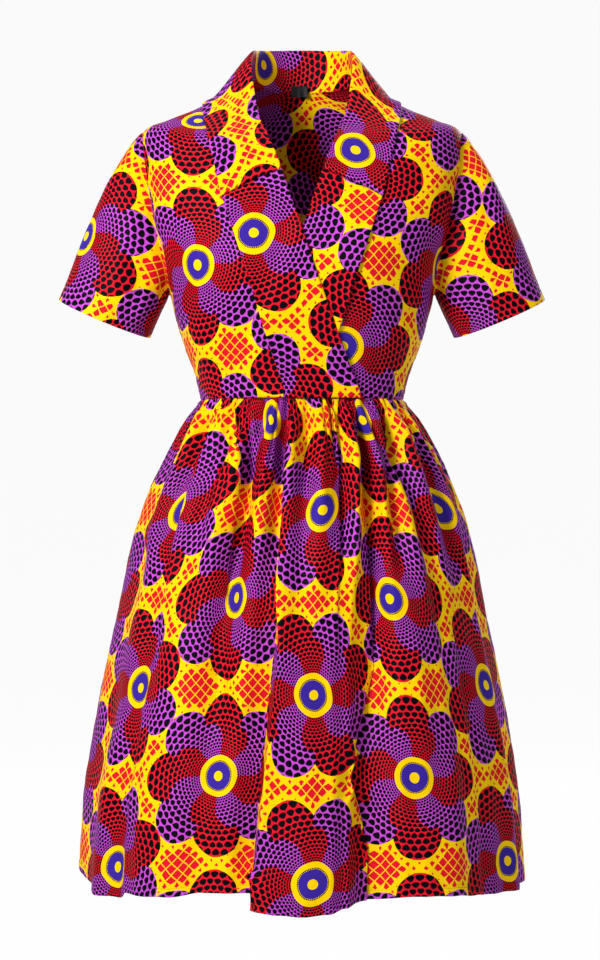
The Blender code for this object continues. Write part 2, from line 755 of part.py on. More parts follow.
def between(start, end, share):
    """A fold between two others. Its rise and lift follow a soft wave."""
    weight = (1 - math.cos(math.pi * share)) / 2
    turn = start.turn + (end.turn - start.turn) * share
    rise = start.rise + (end.rise - start.rise) * weight
    return SkirtFold(turn, rise, start.lift + (end.lift - start.lift) * weight)


def skirt_line(drop, first, last):
    """A row of the skirt's points from one fold to another."""
    folds = skirt_folds(drop)
    size = SEAM_FOLD_SHARE
    size += (1 - SEAM_FOLD_SHARE) * smooth_step(drop, SKIRT_ROWS[1], FULL_FOLD_DROP)
    folds = [fold._replace(rise=fold.rise * size) for fold in folds]
    line = []
    for index in range(first, last):
        for step in range(COLUMNS_PER_FOLD):
            spot = between(folds[index], folds[index + 1], step / COLUMNS_PER_FOLD)
            line.append(skirt_point(spot, drop))
    line.append(skirt_point(folds[last], drop))
    for point, beside in ((line[0], line[1]), (line[-1], line[-2])):
        point.y += math.copysign(SEAM_GAP / 2, beside.y - point.y)
    return line


def build_skirt():
    """The skirt's front and back, two gathered widths joined at the side seams."""
    sides = len(FRONT_FOLDS) - 1
    front = [skirt_line(drop, 0, sides) for drop in SKIRT_ROWS]
    back = [skirt_line(drop, sides, sides + BACK_FOLD_COUNT) for drop in SKIRT_ROWS]
    cloth("skirt_front", front)
    cloth("skirt_back", back)


def build_label():
    """A small plain label that hangs inside the back of the neck, from the neck seam."""
    width, height = LABEL_SIZE
    neck = FORM_RINGS[NECK_RING]
    grid = []
    for row in range(LABEL_ROWS + 1):
        z = LABEL_CENTRE.z + height * (row / LABEL_ROWS - 0.5)
        line = []
        for column in range(LABEL_COLUMNS + 1):
            x = LABEL_CENTRE.x + width * (column / LABEL_COLUMNS - 0.5)
            y = neck.back_depth * math.cos(math.asin(x / neck.half_width)) - LABEL_SET_IN
            line.append(Vector((x, y, z)))
        grid.append(line)
    piece = cloth("label", grid, thickness=LABEL_THICKNESS, flipped=True)
    piece.data.materials[0] = material("label")


def main():
    for old in list(bpy.data.objects):
        bpy.data.objects.remove(old)
    dress = bpy.data.collections.new("Dress")
    bpy.context.scene.collection.children.link(dress)
    front = front_places()
    build_fronts(front)
    build_back()
    build_lapels(front)
    build_collar(front)
    build_sleeves()
    build_skirt()
    build_label()


main()
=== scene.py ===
"""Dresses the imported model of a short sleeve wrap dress, laid out as a Blender add-on.

Metres, +Z up, the front faces -Y and +X is the wearer's left. The cloth pieces are thin
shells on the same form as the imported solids, with their creases, gathers, hems and
stitches, in a cotton print of large flowers.
"""

import math
from collections import namedtuple
from itertools import starmap

import bpy
import numpy as np
from bpy.props import FloatProperty, FloatVectorProperty, IntProperty, PointerProperty
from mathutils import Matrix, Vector
from mathutils.bvhtree import BVHTree


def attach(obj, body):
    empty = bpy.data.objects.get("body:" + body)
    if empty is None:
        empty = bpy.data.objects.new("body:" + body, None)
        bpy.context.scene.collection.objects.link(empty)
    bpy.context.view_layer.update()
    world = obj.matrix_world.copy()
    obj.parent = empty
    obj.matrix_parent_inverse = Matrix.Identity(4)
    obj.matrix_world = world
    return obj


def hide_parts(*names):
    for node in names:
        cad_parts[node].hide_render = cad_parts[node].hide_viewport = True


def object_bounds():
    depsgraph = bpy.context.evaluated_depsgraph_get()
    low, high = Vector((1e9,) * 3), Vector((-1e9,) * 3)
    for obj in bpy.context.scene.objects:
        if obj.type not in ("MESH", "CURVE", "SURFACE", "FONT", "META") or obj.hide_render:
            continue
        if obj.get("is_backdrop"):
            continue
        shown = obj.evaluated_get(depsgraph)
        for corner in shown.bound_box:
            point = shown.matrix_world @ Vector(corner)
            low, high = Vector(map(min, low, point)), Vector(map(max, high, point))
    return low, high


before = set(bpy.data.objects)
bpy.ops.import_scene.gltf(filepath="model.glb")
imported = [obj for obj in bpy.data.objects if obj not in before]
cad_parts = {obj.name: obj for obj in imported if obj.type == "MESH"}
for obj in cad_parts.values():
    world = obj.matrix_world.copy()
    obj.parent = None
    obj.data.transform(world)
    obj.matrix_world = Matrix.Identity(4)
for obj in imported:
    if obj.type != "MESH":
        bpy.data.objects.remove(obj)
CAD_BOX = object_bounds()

bl_info = {
    "name": "Wrap dress in printed cotton",
    "version": (1, 0, 0),
    "blender": (4, 5, 0),
    "location": "3D View > Sidebar > Dress",
    "description": "Builds the cloth, stitches, label and stage of a short sleeve wrap dress",
    "category": "Object",
}

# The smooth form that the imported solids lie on: a stack of tilted rings, waist to neck.
PLY = 0.0017
WRAP_RISE = 2 * PLY + 0.0008
FORM_RINGS = np.array(
    (
        # half_width, side_z, front_depth, front_z, back_depth, back_z, squareness
        (0.1252, -0.395, 0.0990, -0.395, 0.0880, -0.395, 0.08),
        (0.1325, -0.366, 0.1040, -0.364, 0.0890, -0.365, 0.09),
        (0.1465, -0.327, 0.1160, -0.324, 0.0930, -0.325, 0.11),
        (0.1570, -0.292, 0.1270, -0.285, 0.0980, -0.288, 0.14),
        (0.1640, -0.264, 0.1330, -0.250, 0.1020, -0.252, 0.18),
        (0.1720, -0.227, 0.1330, -0.214, 0.1050, -0.212, 0.22),
        (0.1840, -0.182, 0.1250, -0.176, 0.1070, -0.168, 0.25),
        (0.1930, -0.137, 0.1120, -0.140, 0.1060, -0.124, 0.25),
        (0.1985, -0.096, 0.0980, -0.108, 0.1010, -0.084, 0.22),
        (0.1975, -0.062, 0.0850, -0.084, 0.0930, -0.056, 0.18),
        (0.1690, -0.048, 0.0760, -0.074, 0.0850, -0.038, 0.14),
        (0.1240, -0.029, 0.0680, -0.066, 0.0770, -0.020, 0.08),
        (0.0680, 0.000, 0.0600, -0.058, 0.0680, 0.000, 0.00),
    )
)
ARMPIT_RING, TIP_RING, NECK_RING = 4, 9, 12
BUST_OUT, BUST_Z, BUST_RISE, BUST_SPREAD = 0.080, -0.228, 0.010, 0.047
ARMHOLE_FRONT_DEG = (0.0, 9.5, 15.5, 17.5, 17.0, 15.0, 11.0, 0.0)
ARMHOLE_BACK_DEG = (0.0, 8.5, 14.0, 16.0, 16.0, 14.5, 11.0, 0.0)
ARMPIT_SHARE, ARMHOLE_SHARE = 0.55, 0.6
COLLAR_RING = 11.1
# The step that a normal is read over, and the rings in which it turns level at the waist.
NORMAL_STEP, LEVEL_RINGS = 0.002, 1.5
# How far the bodice lies off the form and billows, and where its right front rises.
CLOTH_LIFT, FRONT_BILLOW, BACK_BILLOW = 0.0003, 0.0005, 0.0006
WRAP_RISE_SPAN = (-0.024, -0.004)

# How finely a place on the form is searched for, and how finely its cloth is measured.
SEARCH_ROUNDS, SEARCH_MISS, SEARCH_STEP = 40, 1e-7, 0.001
MOST_CHANGE, LEAST_TURN = np.array((0.3, 1.0)), 0.005
FLAT_TURNS, FLAT_RINGS = 271, 97
TREE_TURNS, TREE_RINGS = 128, 96

# Steps across and up a piece: a count, and how much they crowd at the start and the end.
CROWD_REACH, SEAM_CROWDING = 0.12, 0.85
FRONT_COLUMNS = ((60, SEAM_CROWDING, 0), (44, 0, 0.7), (84, SEAM_CROWDING, 0), (48, 0, SEAM_CROWDING))
BACK_COLUMNS = ((76, SEAM_CROWDING, 0), (124, SEAM_CROWDING, SEAM_CROWDING))
STAND_COLUMNS, FALL_COLUMNS, COLLAR_ROWS = 14, (34, 0, 0.8), (88, 0, 0.6)
SLEEVE_COLUMNS, SLEEVE_ROWS, SLEEVE_HEM_ROWS = 144, 64, 14
SKIRT_COLUMNS, SKIRT_HEM_ROWS = 390, 9
# The skirt's other rows: the drop where each band starts, and its count.
SKIRT_ROW_BANDS = np.array(((0.000, 6), (0.006, 18), (0.040, 20), (0.110, 54)))

# The wrap edge of the wearer's left front and its lapel, as x and z seen from the front.
WRAP_EDGE = np.array(
    (
        (0.0680, 0.0000),
        (0.0650, -0.0210),
        (0.0585, -0.0420),
        (0.0430, -0.0780),
        (0.0280, -0.1180),
        (-0.0010, -0.2060),
        (-0.0274, -0.2810),
        (-0.0683, -0.3950),
    )
)
WRAP_STEPS, WRAP_START = 88, (0.02, NECK_RING - 0.02)
GORGE_Z = -0.120
LAPEL_TIP, LAPEL_FOOT = np.array((0.0955, -0.1560)), np.array((0.0170, -0.3950))
LAPEL_STEPS, LAPEL_START = 44, (1.0, 7.0)
# A free edge stands off the cloth under it, and its brim is pressed round.
LAPEL_RISE, COLLAR_RISE, FREE_EDGE_REACH = 0.0030, 0.0012, 0.012
BRIM_DEPTH, BRIM_WIDTH = 0.0005, 0.0012

# Half of the collar from the centre back to the chest: its roll and its free edge.
COLLAR_SECTIONS = np.array(
    (
        # roll x, y, z and edge x, y, z
        (0.0000, 0.0740, 0.0550, 0.0000, 0.0960, -0.0220),
        (0.0350, 0.0650, 0.0527, 0.0500, 0.0860, -0.0240),
        (0.0540, 0.0400, 0.0480, 0.0930, 0.0500, -0.0260),
        (0.0625, 0.0080, 0.0400, 0.1160, 0.0060, -0.0270),
        (0.0640, -0.0160, 0.0150, 0.1190, -0.0220, -0.0420),
        (0.0590, -0.0370, -0.0190, 0.1180, -0.0480, -0.0640),
        (0.0515, -0.0560, -0.0480, 0.1135, -0.0660, -0.0820),
        (0.0420, -0.0740, -0.0790, 0.1065, -0.0860, -0.1080),
        (0.0275, -0.0960, -0.1185, 0.0960, -0.1060, -0.1540),
    )
)
ROLL_SOFTNESS, SEAM_GAP = 0.007, 0.0004
COLLAR_BACK_SHARE, COLLAR_PULL_START = 6 / 14, 0.55
COLLAR_CLEAR, COLLAR_END_DROP = PLY + 0.0008, 0.0006
COLLAR_BILLOW, COLLAR_BILLOW_COLUMNS, COLLAR_PUCKER = 0.0006, (16, 40), 0.0005

SLEEVE_HEM_CENTRE = np.array((0.2460, -0.0040, -0.2930))
SLEEVE_TILT = math.radians(23.0)
SLEEVE_HEM_HALF_WIDTH, SLEEVE_HEM_HALF_DEPTH = 0.0615, 0.0540
SLEEVE_FRONT_DROP = 0.0060
SLEEVE_SWELL = 0.45
SLEEVE_CLEAR = 0.0012
SLEEVE_LENGTH, SLEEVE_GIRTH, SLEEVE_BILLOW = 0.19, 0.38, 0.0007
# The sleeve is flat this near to its cap and to its hem.
CAP_FLAT, HEM_FLAT = 0.006, 0.03
# The cap's seam allowance: how deep its fold and its edge lie, and its width.
ALLOWANCE_DROPS, ALLOWANCE_WIDTH = (0.0016, 0.0026), 0.0060
ALLOWANCE_FLAT = (0.008, 0.0016)

# Waves in the puckers along a seam, and how far from it they start and end.
PUCKER_SPACING, PUCKER_DRIFT, PUCKER_SPELL = 0.0105, 0.047, 0.083
PUCKER_START, PUCKER_REACH = 0.0012, 0.011

# Hems: the radius of the fold, and the line of stitches with the dip that it pulls.
HEM_RADIUS, STITCH_DIP = 0.0009, 0.0004
SLEEVE_STITCHED, SLEEVE_DIP_WIDTH = 0.0165, 0.0012
SKIRT_STITCHED, SKIRT_DIP_WIDTH = 0.0090, 0.0014
# A stitch has five rings of corners, each with its place along, size and lift.
STITCH_RINGS = (
    (-1.0, 0.05, -0.9),
    (-0.8, 0.75, -0.1),
    (0.0, 1.0, 0.5),
    (0.8, 0.75, -0.1),
    (1.0, 0.05, -0.9),
)
STITCH_SIDES, STITCH_RADIUS, STITCH_SHARE = 6, 0.00022, 0.80

# The skirt: how wide and deep it hangs at each drop below the waist seam.
SKIRT_RINGS = np.array(
    (
        # drop, half_width, front_depth, back_depth
        (0.000, 0.1252, 0.0990, 0.0880),
        (0.004, 0.1252, 0.0990, 0.0880),
        (0.019, 0.1350, 0.1100, 0.1000),
        (0.038, 0.1440, 0.1210, 0.1130),
        (0.075, 0.1640, 0.1400, 0.1390),
        (0.113, 0.1820, 0.1570, 0.1600),
        (0.150, 0.1960, 0.1690, 0.1740),
        (0.188, 0.2060, 0.1780, 0.1840),
        (0.263, 0.2210, 0.1900, 0.1970),
        (0.375, 0.2440, 0.2050, 0.2110),
        (0.488, 0.2620, 0.2180, 0.2220),
        (0.600, 0.2700, 0.2280, 0.2300),
    )
)
SKIRT_LENGTH, WAIST_GAP, WAIST_Z = 0.600, 0.0007, -0.395
WAIST_SQUARENESS, SKIRT_SQUARENESS = 0.08, 0.05
FULL_SHAPE_DROP, SKIRT_BILLOW, SKIRT_CREASE_SHARE = 0.15, 0.0011, 1.8
GATHER_COUNT, GATHER_PUFF, PRINT_EASE = 41, 0.0014, 0.040
FOLD_LEVELS, LEVEL_SOFTNESS = (0.060, 0.300, 0.600), 0.030
FRONT_FOLDS = np.array(
    (
        # share of the half width at hip, knee and hem, rise in mm there, hem lift in mm, lean
        (1.000, 1.000, 1.000, 8, 8, 8, 3, 0.0),
        (0.965, 0.970, 0.975, -6, -2, -3, 4, 0.0),
        (0.920, 0.930, 0.940, 6, 5, 8, 5, 0.3),
        (0.860, 0.860, 0.870, -6, 1, -2, 7, 0.0),
        (0.780, 0.800, 0.800, 9, -1, -6, 9, 0.5),
        (0.670, 0.730, 0.740, -10, 4, 0, 12, 0.0),
        (0.600, 0.640, 0.620, 8, 11, 14, 18, 0.0),
        (0.555, 0.560, 0.520, -3, 10, 12, 20, 0.0),
        (0.500, 0.470, 0.430, 10, 3, 5, 20, 0.2),
        (0.440, 0.345, 0.270, -10, -13, -15, 15, -0.5),
        (0.370, 0.200, 0.170, 10, 4, 10, 11, 0.0),
        (0.230, 0.120, 0.100, -5, 12, 20, 6, 0.0),
        (0.120, 0.040, 0.000, 10, 15, 24, 4, 0.0),
        (0.030, -0.040, -0.100, -5, 14, 22, 6, 0.0),
        (-0.070, -0.100, -0.190, 10, 14, 20, 12, 0.3),
        (-0.135, -0.135, -0.225, -2, -4, -8, 25, -0.3),
        (-0.210, -0.260, -0.320, 10, 4, 0, 25, 0.0),
        (-0.340, -0.420, -0.420, -12, -13, -2, 24, 0.2),
        (-0.440, -0.550, -0.560, 8, 4, 12, 18, 0.0),
        (-0.560, -0.660, -0.670, -6, 8, 9, 15, 0.0),
        (-0.680, -0.720, -0.760, 12, 5, 0, 14, 0.3),
        (-0.780, -0.780, -0.830, -8, -7, -9, 4, -0.3),
        (-0.880, -0.870, -0.900, 8, 2, 6, 3, 0.0),
        (-0.955, -0.950, -0.960, -6, -2, -3, 10, 0.0),
        (-1.000, -1.000, -1.000, 8, 8, 8, 18, 0.0),
    )
)
BACK_FOLD_COUNT = 24
# The back folds' turn at hip, knee and hem level: the size, pace and start of a wave.
BACK_SHIFT_WAVES = ((0.030, 2.3, 0), (0.040, 1.7, 1), (0.045, 1.1, 2))
SIDE_FOLD_RISE, LEAN_SHARE = 8, 0.35
SEAM_FOLD_SHARE, FOLD_START, FULL_FOLD_DROP = 0.14, 0.004, 0.040

# Creases, each a soft ridge, or a trough where the rise is below 0, along a bowed line.
# On the bodice and skirt a and b are x and z, seen from the front. On a sleeve they are the
# way round from the shoulder and the way down. All are in millimetres.
Crease = namedtuple("Crease", "a0 b0 a1 b1 bow width rise")
FRONT_CREASES = (
    (160, -262, 118, -236, 4, 8, -1.6),
    (158, -274, 120, -262, 3, 7, 1.2),
    (152, -296, 112, -300, -4, 9, -1.5),
    (149, -318, 116, -328, -3, 8, 1.1),
    (140, -340, 98, -356, -4, 9, -1.4),
    (132, -368, 100, -376, 3, 8, -1.2),
    (170, -226, 136, -176, -6, 11, -1.8),
    (176, -206, 150, -150, -6, 9, 1.3),
    (168, -100, 128, -132, 5, 14, -1.2),
    (150, -70, 120, -120, 4, 12, 0.9),
    (98, -384, 92, -318, 3, 10, -1.3),
    (70, -386, 74, -334, -2, 9, 1.0),
    (46, -388, 58, -330, 3, 10, -0.9),
)
OVER_CREASES = (
    (158, -270, 122, -240, 5, 9, -1.5),
    (154, -286, 108, -276, 4, 8, 1.1),
    (150, -304, 104, -312, -5, 10, -1.6),
    (143, -334, 112, -344, -3, 8, 1.0),
    (135, -358, 90, -368, -3, 9, -1.3),
    (172, -222, 140, -168, -7, 12, -1.7),
    (178, -196, 156, -140, -6, 9, 1.2),
    (160, -92, 122, -140, 6, 15, -1.3),
    (88, -386, 84, -326, 3, 10, -1.2),
    (56, -388, 52, -338, 2, 9, 0.9),
    (28, -389, 34, -340, -3, 10, -1.0),
    (-20, -390, -2, -330, -4, 12, -1.1),
    (-48, -391, -34, -352, -3, 9, 0.9),
    (158, -281, 143, -286, 1, 4, -1.7),
    (155, -298, 137, -304, -1, 4, -1.9),
    (150, -315, 136, -322, 1, 4, -1.5),
    (146, -331, 127, -338, -1, 4, -1.9),
    (141, -348, 126, -353, 1, 4, -1.6),
    (135, -366, 117, -372, -1, 4, -1.7),
)
BACK_CREASES = (
    (-158, -262, -108, -232, 5, 10, -1.7),
    (-152, -292, -96, -286, -4, 10, 1.3),
    (-146, -320, -88, -330, -4, 9, -1.6),
    (-134, -356, -72, -366, 3, 10, -1.4),
    (160, -268, 116, -236, -5, 9, -1.5),
    (154, -288, 100, -292, 4, 11, -1.6),
    (145, -326, 94, -322, 3, 9, 1.2),
    (136, -352, 66, -360, -4, 10, -1.5),
    (-60, -376, 48, -372, 5, 11, -1.6),
    (-38, -352, 66, -356, -4, 10, 1.2),
    (-176, -200, -128, -150, 8, 13, -1.9),
    (178, -204, 132, -158, -8, 12, -1.7),
    (-120, -60, -70, -120, 6, 15, -1.3),
    (112, -58, 76, -128, -6, 14, -1.2),
    (-18, -40, -14, -180, 3, 16, -1.0),
)
SLEEVE_CREASES = (
    (60, 20, 84, 120, 8, 11, -2.2),
    (92, 34, 104, 150, 5, 9, 1.6),
    (118, 30, 122, 120, -4, 10, -2.4),
    (150, 26, 138, 100, 5, 8, 1.5),
    (20, 90, 34, 200, -6, 14, -1.5),
    (-66, 22, -86, 130, -8, 12, -2.3),
    (-96, 40, -104, 150, 5, 9, 1.5),
    (-124, 26, -126, 110, 4, 10, -2.2),
    (-30, 60, -42, 190, 6, 13, 1.4),
    (5, 40, -6, 150, 4, 15, -1.0),
)
LAPEL_CREASES = (
    (52, -150, 18, -230, 3, 14, -0.7),
    (60, -190, 30, -280, -3, 12, 0.6),
    (8, -300, -24, -380, 2, 11, -0.7),
)
SKIRT_FRONT_CREASES = (
    (-89, -410, -147, -577, 6, 7, 2.6),
    (-84, -398, -106, -606, -6, 7, 3.0),
    (-66, -404, -76, -600, 5, 7, -6.5),
    (-46, -402, -52, -560, 3, 7, 3.0),
    (-27, -403, -31, -580, 2, 7, -5.0),
    (-7, -405, -14, -540, -3, 7, 2.6),
    (10, -402, 6, -500, 3, 6, -3.2),
    (29, -402, 21, -480, 3, 6, 2.4),
    (46, -402, 50, -600, 1, 7, -6.5),
    (52, -401, 66, -520, 2, 6, 2.4),
    (73, -406, 88, -640, -3, 7, -5.5),
    (84, -401, 96, -560, 2, 6, 2.4),
    (104, -402, 119, -600, -3, 8, -6.5),
    (115, -403, 143, -520, 3, 7, 3.0),
    (137, -440, 181, -590, 7, 7, -4.0),
    (132, -412, 189, -565, 7, 8, 2.4),
    (-110, -404, -160, -520, 6, 7, -3.2),
    (-120, -400, -184, -560, 8, 8, 2.2),
    (-199, -582, -186, -700, 6, 16, -3.0),
    (-186, -690, -228, -830, -8, 18, -3.4),
    (-91, -600, -102, -722, -5, 20, -4.0),
    (-102, -715, -80, -800, -4, 18, -3.2),
    (85, -620, 80, -730, 5, 12, -4.4),
    (82, -720, 52, -840, 6, 14, -3.6),
    (54, -830, 75, -960, -6, 16, -3.4),
    (-30, -560, -26, -760, 4, 22, 2.2),
    (150, -640, 168, -860, 7, 20, -3.2),
    (118, -620, 132, -800, -5, 22, 2.2),
    (-150, -640, -160, -800, 5, 18, 2.0),
    (8, -640, 20, -900, 5, 24, -2.4),
)
SKIRT_BACK_CREASES = (
    (-92, -404, -140, -560, 6, 7, -4.2),
    (-74, -400, -108, -590, -5, 7, 3.0),
    (-48, -408, -62, -570, 4, 6, -4.4),
    (-26, -402, -30, -520, 2, 7, 2.6),
    (-4, -404, -12, -560, -3, 6, -3.8),
    (18, -402, 20, -500, 3, 7, 2.6),
    (38, -406, 52, -590, 3, 6, -4.4),
    (60, -401, 80, -540, -4, 7, 2.8),
    (84, -408, 116, -580, 5, 7, -4.2),
    (104, -403, 146, -530, 4, 7, 2.4),
    (124, -406, 176, -580, 6, 7, -3.6),
    (-112, -402, -170, -540, 7, 7, 2.4),
    (-160, -600, -176, -800, 7, 18, -3.4),
    (-84, -590, -70, -790, -6, 20, -4.0),
    (-20, -600, -34, -860, 6, 22, 2.4),
    (40, -580, 36, -760, -5, 16, -4.2),
    (96, -620, 122, -860, 7, 20, -3.6),
    (170, -590, 184, -760, 6, 16, -3.0),
    (0, -720, 14, -960, 5, 20, -3.0),
    (-130, -760, -120, -960, -6, 22, 2.4),
)
# Sharp folds of the skirt, where the cloth laps over itself. Each edge is a row of x and z
# in millimetres and the fold's strength there. It lies near the numbered fold, and the half
# width is how far the cloth moves on each side, in metres. A side of 1 laps the cloth nearer
# the seam that the piece is drawn from over the rest.
Lap = namedtuple("Lap", "side fold half_width edge")
LAP_REACH, LAP_RISE, LAP_RISE_REACH = 0.73, 0.48, 0.9
LAP_CROWDING, LAP_CROWD_REACH = 2.4, 0.9
FRONT_LAPS = (
    Lap(1, 14.8, 0.022, (
        (-16, -398, 0.0), (-16, -425, 0.5), (-17, -470, 0.6), (-20, -545, 0.7),
        (-28, -664, 0.85), (-41, -782, 1.0), (-51, -879, 1.0), (-55, -934, 1.0),
        (-54, -1010, 1.0),
    )),
    Lap(-1, 10.9, 0.017, (
        (34, -398, 0.0), (36, -415, 0.9), (40, -470, 1.0), (41, -560, 0.9),
        (41, -650, 0.5), (42, -720, 0.0),
    )),
    Lap(-1, 9.3, 0.022, (
        (60, -400, 0.0), (62, -425, 0.6), (67, -475, 0.7), (75, -530, 0.7),
        (77, -664, 0.9), (82, -720, 0.8), (66, -782, 1.0), (51, -845, 1.0),
        (64, -881, 0.9), (73, -934, 0.9), (72, -1010, 0.8),
    )),
    Lap(-1, 18.0, 0.016, (
        (-82, -398, 0.0), (-80, -430, 0.7), (-73, -480, 0.95), (-79, -526, 0.95),
        (-87, -602, 0.7), (-92, -680, 0.0),
    )),
    Lap(-1, 6.0, 0.015, (
        (91, -397, 0.0), (96, -425, 0.9), (100, -474, 1.0), (105, -532, 0.7),
        (110, -590, 0.0),
    )),
)
BACK_LAPS = (
    Lap(-1, 8.7, 0.022, (
        (-58, -410, 0.0), (-60, -480, 0.7), (-66, -640, 0.9), (-88, -800, 1.0),
        (-84, -1010, 0.9),
    )),
    Lap(1, 15.2, 0.022, (
        (58, -430, 0.0), (60, -540, 0.7), (78, -700, 0.9), (72, -840, 1.0),
        (90, -1010, 1.0),
    )),
    Lap(-1, 12.6, 0.016, (
        (10, -398, 0.0), (12, -430, 0.8), (15, -490, 0.9), (18, -560, 0.5),
        (20, -620, 0.0),
    )),
    Lap(1, 6.9, 0.014, (
        (-98, -398, 0.0), (-104, -430, 0.8), (-112, -480, 0.8), (-122, -540, 0.4),
        (-128, -580, 0),
    )),
    Lap(-1, 17.2, 0.015, (
        (88, -398, 0.0), (94, -430, 0.8), (104, -485, 0.8), (116, -545, 0.4),
        (122, -600, 0.0),
    )),
)

LABEL_SIZE, LABEL_PLY = (0.021, 0.014), 0.0003
LABEL_CENTRE, LABEL_SET_IN = (-0.003, 0.0015), 0.0036
LABEL_FOLD, LABEL_SAG, LABEL_WAVE = 0.0005, 0.0022, 0.0003

# Each piece's cut: flat width and length in metres, its area, how it is held, what it rests
# on, and how far the print is shifted across and down it, as the cut fell.
Cut = namedtuple("Cut", "width length area held rests_on print_shift")
CUTS = {
    "front_left": Cut(0.290, 0.440, 0.086, "hung", (), (0.048, 0.150)),
    "front_right": Cut(0.290, 0.440, 0.086, "hung", (), (0.196, 0.046)),
    "back": Cut(0.480, 0.430, 0.160, "hung", (), (0.090, 0.020)),
    "lapel_left": Cut(0.100, 0.290, 0.0205, "folded", ("front_left",), (0.120, 0.085)),
    "lapel_right": Cut(0.100, 0.290, 0.0205, "folded", ("front_right",), (0.105, 0.120)),
    "collar": Cut(
        0.470, 0.160, 0.060, "folded", ("back", "front_left", "front_right"), (0.060, 0.030)
    ),
    "sleeve_left": Cut(0.380, 0.230, 0.062, "hung", (), (0.010, 0.130)),
    "sleeve_right": Cut(0.380, 0.230, 0.062, "hung", (), (0.140, 0.020)),
    "skirt_front": Cut(0.960, 0.612, 0.560, "gathered", (), (0.055, 0.070)),
    "skirt_back": Cut(0.960, 0.612, 0.560, "gathered", (), (0.115, 0.160)),
    "label": Cut(0.021, 0.028, 0.00058, "folded", ("collar",), (0.0, 0.0)),
}

# The print, in metres. A petal reaches from its start by its depth, and the heart is the
# round of inner petals. A seed's sizes are shares of its cell.
PETAL_START, PETAL_DEPTH, PETAL_POWER = 0.078, 0.022, 0.8
HEART_START, HEART_DEPTH = 0.046, 0.020
SEED_HEIGHT, SEED_HALF_HEIGHT = 0.80, 0.445
SEED_HALF_WIDTH, SEED_FLARE = 0.43, 0.35
RING_RADIUS, RING_SEED_RADIUS, EYE_RADIUS, DOT_RADIUS = 0.0254, 0.0190, 0.01725, 0.0062
DIAMOND_REACH, DIAMOND_GAP, DIAMOND_GROWTH = 0.015, 0.46, 0.40
# Which colour goes where, from the ground up.
PRINT_LAYERS = (
    ("diamond", "red"),
    ("flower", "purple"),
    ("red_petal", "red"),
    ("seed", "seed"),
    ("ring", "yellow"),
    ("ring_seed", "seed"),
    ("eye", "violet"),
    ("dot", "yellow"),
)
# How the print's blocks wander and its dye varies, how far apart the threads are drawn, and
# the scale that makes a rib of a wave texture one spacing wide.
WANDER_SCALE, WANDER = 38.0, (0.004, 0.004, 0.0)
DYE_SCALE, DYE_LEAST, DYE_MOST = 16.0, 0.88, 1.06
THREAD_SPACING, RIB_SCALE = 0.0009, 0.314

# The stage, in metres: the floor and backdrop, the lamps and surround, and the camera.
FLOOR_Z, FLOOR_FRONT, GLOW_START = -1.75, -12.0, 2.6
WALL_Y, WALL_TOP, SWEEP_RADIUS, STAGE_HALF_WIDTH = 10.0, 9.0, 3.5, 12.0
FLOOR_SHADE, GLOW_SHADE, STAGE_GLOW = 0.85, 0.03, 0.975
Lamp = namedtuple("Lamp", "name place aim size watts")
LAMPS = (
    Lamp("key", (-1.20, -1.75, 0.35), (0.0, 0.0, -0.15), 0.6, 50),
    Lamp("fill", (2.8, -2.4, 0.4), (0.0, 0.0, -0.5), 2.2, 9),
    Lamp("top", (0.0, 0.4, 2.4), (0.0, 0.0, -0.3), 1.8, 24),
    Lamp("rear", (1.3, 2.2, 0.9), (0.0, 0.0, -0.4), 0.9, 44),
)
WORLD_LIGHT = 0.34
CAMERA_PLACE = (-0.0025, -2.800, -0.495)
CAMERA_LENS = 84.0


def linear(text):
    """A colour as linear RGB, from its sRGB hex."""
    parts = [int(text[i : i + 2], 16) / 255 for i in (1, 3, 5)]
    return tuple(p / 12.92 if p <= 0.04045 else ((p + 0.055) / 1.055) ** 2.4 for p in parts)


def colour(name, text, description):
    """A colour that a user may change."""
    return FloatVectorProperty(
        name=name, description=description, subtype="COLOR", default=linear(text), min=0, max=1
    )


def length(name, value, description):
    """A length in metres that a user may change."""
    return FloatProperty(
        name=name, description=description, default=value, min=0, precision=5, unit="LENGTH"
    )


class DressColours(bpy.types.PropertyGroup):
    """Colours of the print, thread, label and stage."""

    yellow: colour("Yellow", "#FFD200", "Ground of the print and the flowers' rings")
    red: colour("Red", "#E01428", "Every second petal, and the ground's diamonds")
    purple: colour("Purple", "#C44ACE", "The other petals")
    violet: colour("Blue violet", "#3A2598", "Middle of each flower")
    seed: colour("Seeds", "#04050C", "Rows of seeds on the petals")
    thread: colour("Thread", "#2A0B10", "Sewing thread of the hems")
    label: colour("Label", "#08060B", "Woven label at the back of the neck")
    stage: colour("Stage", "#FAFAFA", "Floor and backdrop")


class DressSizes(bpy.types.PropertyGroup):
    """Sizes of the cloth, its print and its sewing."""

    shell: length("Cloth", 0.00055, "Thickness of one ply as drawn")
    facing: length("Collar cloth", 0.00105, "Thickness of the collar and lapels as drawn")
    seam_depth: length("Seam depth", 0.0011, "How deep an edge turns in at a seam")
    seam_roll: length("Seam roll", 0.0024, "How far from a seam the cloth starts to turn in")
    pucker: length("Pucker", 0.00036, "Height of the small puckers along a seam")
    gather: length("Gather", 0.0066, "Height of the small gathers under the waist seam")
    skirt_hem: length("Skirt hem", 0.0100, "Depth of the skirt's hem")
    sleeve_hem: length("Sleeve hem", 0.0180, "Depth of the sleeves' hems")
    stitch: length("Stitch", 0.0029, "Length of a stitch, with its gap")
    motif_column: length("Flower columns", 0.165, "From one column of flowers to the next")
    motif_row: length("Flower rows", 0.215, "From one flower to the next down a column")
    diamond: length("Diamonds", 0.0140, "From one diamond of the ground to the next")
    seeds: IntProperty(
        name="Seeds round a flower", description="Seeds in each round row", default=52, min=8
    )


